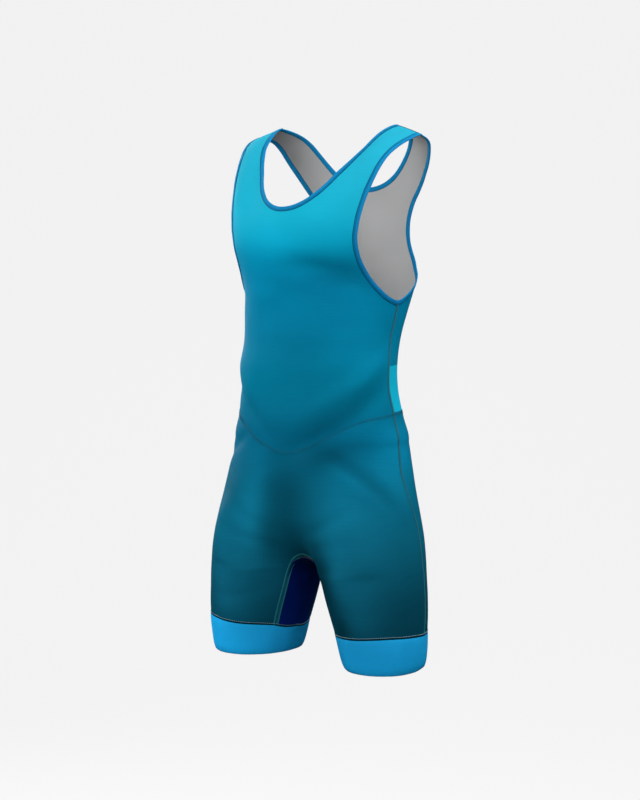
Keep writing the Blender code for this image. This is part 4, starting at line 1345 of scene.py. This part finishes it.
def stitch_tree():
    tree = bpy.data.node_groups.new("stitches", "GeometryNodeTree")
    kinds = {"Geometry": "NodeSocketGeometry", "Thread": "NodeSocketMaterial"}
    for name in ("Geometry", "Pitch", "Length", "Thickness", "Lean", "Thread"):
        kind = kinds.get(name, "NodeSocketFloat")
        tree.interface.new_socket(name, in_out="INPUT", socket_type=kind)
    tree.interface.new_socket("Geometry", in_out="OUTPUT", socket_type="NodeSocketGeometry")

    g = Graph(tree)
    sockets = tree.nodes.new("NodeGroupInput").outputs
    given = {socket.name: Value(g, socket) for socket in sockets if socket.name}
    normal = g.node(
        "GeometryNodeInputNamedAttribute", {"data_type": "FLOAT_VECTOR"}, {"Name": "lift"},
        "Attribute",
    )
    curves = g.node("GeometryNodeMeshToCurve", inputs={"Mesh": given["Geometry"]})
    spaced = g.node(
        "GeometryNodeResampleCurve", {"mode": "LENGTH"},
        {"Curve": curves, "Length": given["Pitch"]},
    )
    upright = g.node("FunctionNodeAlignRotationToVector", {"axis": "Z"}, {"Vector": normal})
    aimed = g.node(
        "FunctionNodeAlignRotationToVector", {"axis": "X", "pivot_axis": "Z"},
        {"Rotation": upright, "Vector": g.node("GeometryNodeInputTangent")},
    )
    odd = g.node("GeometryNodeInputIndex") % 2.0
    lean = (odd * 2.0 - 1.0) * given["Lean"]
    turned = g.node("ShaderNodeCombineXYZ", inputs={"Z": lean})
    turn = g.node("FunctionNodeEulerToRotation", inputs={"Euler": turned})
    leaned = g.node(
        "FunctionNodeRotateRotation", {"rotation_space": "LOCAL"},
        {"Rotation": aimed, "Rotate By": turn},
    )
    bead = g.node("GeometryNodeMeshUVSphere", inputs={"Segments": 8, "Rings": 4, "Radius": 0.5})
    size = g.node("ShaderNodeCombineXYZ", inputs={
        "X": given["Length"], "Y": given["Thickness"], "Z": given["Thickness"],
    })
    shaped = g.node("GeometryNodeTransform", inputs={"Geometry": bead, "Scale": size})
    placed = g.node(
        "GeometryNodeInstanceOnPoints",
        inputs={"Points": spaced, "Instance": shaped, "Rotation": leaned},
    )
    real = g.node("GeometryNodeRealizeInstances", inputs={"Geometry": placed})
    smooth = g.node("GeometryNodeSetShadeSmooth", inputs={"Geometry": real})
    dyed = g.node(
        "GeometryNodeSetMaterial", inputs={"Geometry": smooth, "Material": given["Thread"]}
    )
    g.node("NodeGroupOutput", inputs={"Geometry": dyed})
    return tree


STITCHES = stitch_tree()
print("stitch tree:", len(STITCHES.nodes), "nodes")

# %% Stitches from the tree


def make_stitches(name, lines, pitch, length, thickness, lean, thread):
    """Stitches along lines; each line is (points, normals)."""
    vertices = np.concatenate([points for points, _ in lines])
    lifts = np.concatenate([normals for _, normals in lines])
    edges, start = [], 0
    for points, _ in lines:
        edges += [(start + i, start + i + 1) for i in range(len(points) - 1)]
        start += len(points)
    guide = bpy.data.meshes.new(name + "_guide")
    guide.from_pydata([tuple(map(float, v)) for v in vertices], edges, [])
    attribute = guide.attributes.new("lift", "FLOAT_VECTOR", "POINT")
    attribute.data.foreach_set("vector", lifts.ravel())
    carrier = bpy.data.objects.new(name + "_guide", guide)
    bpy.context.scene.collection.objects.link(carrier)
    modifier = carrier.modifiers.new("stitches", "NODES")
    modifier.node_group = STITCHES
    wanted = {
        "Pitch": pitch, "Length": length, "Thickness": thickness, "Lean": lean, "Thread": thread,
    }
    for socket in STITCHES.interface.items_tree:
        if socket.in_out == "INPUT" and socket.name in wanted:
            modifier[socket.identifier] = wanted[socket.name]
    evaluated = carrier.evaluated_get(bpy.context.evaluated_depsgraph_get())
    mesh = bpy.data.meshes.new_from_object(evaluated)
    mesh.name = name
    bpy.data.objects.remove(carrier)
    pieces[name] = bpy.data.objects.new(name, mesh)
    bpy.context.scene.collection.objects.link(pieces[name])
    print(name, len(mesh.polygons), "faces")


# %% [markdown]
# ## Thread
#
# The thread is dyed close to the cloth, a little lighter, and catches the light because it is
# smoother than the knit. Its colour is uneven by a few parts in a hundred.

# %% Threads
MOTTLES, PLIES = 260.0, 900.0  # uneven patches and plies in a metre
THREAD_DEPTH = 0.0001  # of the bump


def thread(name, colour):
    material, g = new_material(name)
    place = g.node("ShaderNodeTexCoord", output="Object")
    noise = g.node("ShaderNodeTexNoise", inputs={"Vector": place, "Scale": MOTTLES, "Detail": 2.0})
    shade = 1.0 + (noise - 0.5) * 0.35
    base = g.node("ShaderNodeVectorMath", {"operation": "SCALE"}, {0: colour, "Scale": shade})
    plies = g.node("ShaderNodeTexWave", {"bands_direction": "DIAGONAL"}, {
        "Vector": place, "Scale": PLIES, "Distortion": 1.5,
    }, "Fac")
    bump = g.node(
        "ShaderNodeBump", inputs={"Strength": 0.3, "Distance": THREAD_DEPTH, "Height": plies}
    )
    shader = g.node("ShaderNodeBsdfPrincipled", inputs={
        "Base Color": base, "Roughness": 0.42 + (noise - 0.5) * 0.1, "Normal": bump,
        "Specular IOR Level": 0.2,
    })
    g.node("ShaderNodeOutputMaterial", inputs={"Surface": shader})
    return material


teal_thread = thread("teal_thread", (0.001, 0.122, 0.200))
side_thread = thread("side_thread", (0.018, 0.150, 0.205))
grey_thread = thread("grey_thread", (0.260, 0.400, 0.470))
blue_thread = thread("blue_thread", (0.008, 0.190, 0.430))
print("threads:", [m.name for m in bpy.data.materials if m.name.endswith("thread")])

# %% The stitch lines
GUIDE_STEP = 0.004  # between the points of a line that stitches follow
FLAT_LIFT = CLOTH / 2 + 0.00034  # from the cloth's middle to a stitch on a flat seam
ARCH_LIFT = CLOTH / 2 + ARCH_PROUD
CUFF_LIFT = CLOTH / 2 + 0.0004
CUFF_BESIDE = 0.0020  # the leg bands' stitches lie this far up from the seam
STITCH_LINE = 0.60  # where a binding's stitches lie, as a share of the half-width
STITCH_HEIGHT = 0.68  # and how high, as a share of the half-thickness


def beside(curves, offsets, lift=FLAT_LIFT):
    """Lines beside curves on the cloth, at some sideways offsets, lifted off its middle."""
    lines = []
    for curve in curves:
        spots, sideways, normals = seam_frame(stations(curve, GUIDE_STEP))
        lines += [(spots + sideways * offset + normals * lift, normals) for offset in offsets]
    return lines


def looped(line, normals):
    """A line that ends where it starts."""
    return np.concatenate([line, line[:1]]), np.concatenate([normals, normals[:1]])


def binding_line(loop, face):
    """The topstitch line of a binding, on its outside (1) or its inside (-1)."""
    middles, wide, thick = binding_frame(loop)
    line = middles + wide * STITCH_LINE * BINDING_WIDTH / 2
    return looped(line + thick * face * STITCH_HEIGHT * BINDING_THICK / 2, face * thick)


binding_lines = [binding_line(loop, face) for loop in LOOPS.values() for face in (-1, 1)]
cuff_lines = [
    looped(spots + sideways * CUFF_BESIDE + normals * CUFF_LIFT, normals)
    for spots, sideways, normals in band_frames.values()
]
print("lines round the bindings and the leg bands:", len(binding_lines), len(cuff_lines))

# %% The stitches
ZIGZAG = 0.95  # how far each stitch of a zigzag leans over, in radians

# name, lines, pitch, length, thickness, lean, thread
for row in [
    ("hip_stitches", beside(HIPS, (-0.0024, 0.0024)), 0.0026, 0.0024, 0.00055, 0.25, teal_thread),
    ("hip_cover_stitches", beside(HIPS, (0,)), 0.0013, 0.0046, 0.00034, ZIGZAG, teal_thread),
    ("side_stitches", beside(SIDES, (-0.0020, 0.0020)), 0.0025, 0.0022, 0.0005, 0.2, side_thread),
    ("side_cover_stitches", beside(SIDES, (0,)), 0.0014, 0.0038, 0.00032, ZIGZAG, side_thread),
    ("cuff_stitches", cuff_lines, 0.0032, 0.0023, 0.0009, 0.25, grey_thread),
    ("arch_stitches", beside(ARCH_SEAMS, (-0.0037, 0.0037), ARCH_LIFT),
     0.0024, 0.0021, 0.0005, 0.2, side_thread),
    ("binding_stitches", binding_lines, 0.0027, 0.0021, 0.00045, 0.0, blue_thread),
    ("shoulder_stitches", beside(SHOULDERS, (0,)), 0.0024, 0.0021, 0.00045, 0.0, teal_thread),
]:
    make_stitches(*row)

# %% [markdown]
# ## Fixing the pieces to the frame
#
# Every piece rides on the one body, and where a piece replaces a plain solid of the frame, that
# solid is hidden. The size each cloth piece was cut to is worked out and printed. Knit is cut
# smaller than the body and stretches on it, here by about a tenth each way. So the flat size is
# read from the made piece: its area, its girth and its length over the cloth, less the stretch. A
# leg band is cut twice as deep as it shows, because it is folded double, and only the outer half
# is stated.

# %% Rides and replaced solids
STANDS_FOR = {
    "front_body_cloth": ("front_body", "upper_knit"),
    "back_body_cloth": ("back_body", "upper_knit"),
    "front_shorts_cloth": ("front_shorts", "lower_knit"),
    "back_shorts_cloth": ("back_shorts", "lower_knit"),
    "gusset_cloth": ("gusset", "gusset_knit"),
    "cuff_left_cloth": ("cuff_left", "cuff_knit"),
    "cuff_right_cloth": ("cuff_right", "cuff_knit"),
    "neck_binding_strip": ("neck_binding", "binding_knit"),
    "armhole_binding_left_strip": ("armhole_binding_left", "binding_knit"),
    "armhole_binding_right_strip": ("armhole_binding_right", "binding_knit"),
}
for name, piece in pieces.items():
    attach(piece, "root")
    if name in STANDS_FOR:
        node, slot = STANDS_FOR[name]
        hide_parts(node)
print(len(pieces), "pieces ride on the body")

# %% The sheets of cloth
STRETCH = 1.10  # each way, on the wearer
DOWN_POINTS = 80


def face_area(piece):
    """The area of one face of a closed cloth piece."""
    return sum(polygon.area for polygon in piece.data.polygons) / 2


def cut(name, width, length):
    """Prints a sheet's cut size from its girth and its length over the cloth, both as worn."""
    piece = pieces[name]
    area = face_area(piece) / STRETCH**2
    flat = (round(width / STRETCH, 3), round(length / STRETCH, 3))
    print("%s: cut %.3f x %.3f m, %.4f m2" % (name, *flat, area))


def girth(curve):
    """The length over the cloth of a curve on the figure."""
    return float(distances_along(figure(*curve.T))[-1])


def down(turn, top, bottom):
    """The length over the cloth straight down from one place to another."""
    alongs = np.linspace(top, bottom, DOWN_POINTS)
    return girth(np.stack([np.full(DOWN_POINTS, float(turn)), alongs], -1))


print("cut smaller than worn by a factor of %.2f" % (1 / STRETCH))

# %% The sheets' cut sizes
cut("front_body_cloth", girth(level_line(-90, 90, -0.21)), down(42, 0.103, -0.480))
cut("back_body_cloth", girth(level_line(90, 270, -0.30)), down(138, 0.103, -0.460))
cut("front_shorts_cloth", girth(level_line(-100, 100, -0.66)), down(60, -0.466, CUFF_TOP))
cut("back_shorts_cloth", girth(level_line(100, 260, -0.64)), down(140, -0.458, CUFF_TOP))
WIDEST = 1.25  # the gusset's widest part against its middle
gusset_width = float(distances_along(gusset_grid[gusset_rows // 2])[-1])
gusset_length = float(distances_along(gusset_grid[:, GUSSET_COLUMNS // 2])[-1])
cut("gusset_cloth", gusset_width * WIDEST, gusset_length)
CUFF_MIDDLE = -0.825
cuff_ring = trunk_point(np.linspace(0, 180, 200), np.full(200, CUFF_MIDDLE))
cuff_girth = float(distances_along(cuff_ring)[-1])
cut("cuff_left_cloth", cuff_girth, CUFF_TOP - CUFF_HEM)
cut("cuff_right_cloth", cuff_girth, CUFF_TOP - CUFF_HEM)

# %% [markdown]
# ## Studio
#
# The floor and backdrop are one pale sweep far below the garment, which glows a little so that it
# reads as plain paper however the garment is lit. One big light would flatten the cloth. Eight
# soft lights stand round it instead, weak in front and strong at the sides and behind, so that the
# folds and the round of the chest and thighs show, and the far edges stand out.

# %% The stage
FLOOR_LEVEL = -1.9
FLOOR_FRONT, FLOOR_BACK, SWEEP_RADIUS, WALL_TOP, HALF_WIDTH = -9.0, 3.2, 2.2, 9.0, 14.0


def make_stage():
    angles = np.linspace(0.1, math.pi / 2, 14)
    profile = [(FLOOR_FRONT, 0.0), (FLOOR_BACK, 0.0)]
    profile += [
        (FLOOR_BACK + SWEEP_RADIUS * math.sin(a), SWEEP_RADIUS - SWEEP_RADIUS * math.cos(a))
        for a in angles
    ]
    profile += [(FLOOR_BACK + SWEEP_RADIUS, WALL_TOP)]
    cosine, sine = math.cos(CAMERA_AZIMUTH), math.sin(CAMERA_AZIMUTH)
    vertices = [
        (x * cosine - y * sine, x * sine + y * cosine, FLOOR_LEVEL + up)
        for y, up in profile for x in (-HALF_WIDTH, HALF_WIDTH)
    ]
    faces = [(2 * i, 2 * i + 1, 2 * i + 3, 2 * i + 2) for i in range(len(profile) - 1)]
    material, g = new_material("pale_paper")
    place = g.node("ShaderNodeTexCoord", output="Object")
    grain = g.node("ShaderNodeTexNoise", inputs={"Vector": place, "Scale": 30.0})
    tone = g.node("ShaderNodeVectorMath", {"operation": "SCALE"}, {
        0: (0.07, 0.07, 0.07), "Scale": 1.0 + (grain - 0.5) * 0.01,
    })
    shader = g.node("ShaderNodeBsdfPrincipled", inputs={
        "Base Color": tone, "Roughness": 0.9, "Specular IOR Level": 0.1,
        "Emission Color": (1.0, 1.0, 1.0, 1.0), "Emission Strength": 0.865,
    })
    g.node("ShaderNodeOutputMaterial", inputs={"Surface": shader})
    stage = make_mesh("pale_stage", vertices, faces, [material])
    del pieces["pale_stage"]
    stage.visible_diffuse = stage.visible_glossy = False


make_stage()
print("the floor lies %.2f m under the hems" % (CUFF_HEM - FLOOR_LEVEL))

# %% The lights and the world
LIT_SPOT = Vector((0, -0.05, -0.40))
# azimuth is 0 in front and 90 to the garment's left
Light = namedtuple("Light", "name azimuth elevation distance size power")
LIGHTS = [
    Light("front", -5, 25, 3.0, 1.5, 38),
    Light("left", -70, 25, 3.0, 1.5, 54),
    Light("right", 25, 10, 3.0, 1.5, 23),
    Light("right_low", 55, 5, 3.0, 1.5, 28),
    Light("right_high", 115, 50, 3.0, 1.5, 79),
    Light("behind_left", -115, 15, 3.0, 1.5, 75),
    Light("behind", 165, 35, 3.2, 1.8, 30),
    Light("low", -30, -30, 3.0, 1.5, 9),
]


def make_light(row):
    """A soft area light aimed at the garment's middle."""
    a, e = math.radians(row.azimuth), math.radians(row.elevation)
    offset = Vector((math.sin(a) * math.cos(e), -math.cos(a) * math.cos(e), math.sin(e)))
    light = bpy.data.objects.new(row.name, bpy.data.lights.new(row.name, "AREA"))
    light.data.energy, light.data.size = row.power, row.size
    light.location = LIT_SPOT + offset * row.distance
    light.rotation_euler = (-offset).to_track_quat("-Z", "Y").to_euler()
    bpy.context.scene.collection.objects.link(light)


for row in LIGHTS:
    make_light(row)
world = bpy.data.worlds.new("studio")
world.use_nodes = True
world.node_tree.nodes["Background"].inputs["Color"].default_value = (1, 1, 1, 1)
world.node_tree.nodes["Background"].inputs["Strength"].default_value = 0.02
bpy.context.scene.world = world
bpy.context.scene.view_settings.view_transform = "Standard"
bpy.context.scene.view_settings.look = "None"
print(len(LIGHTS), "lights and the world are ready")
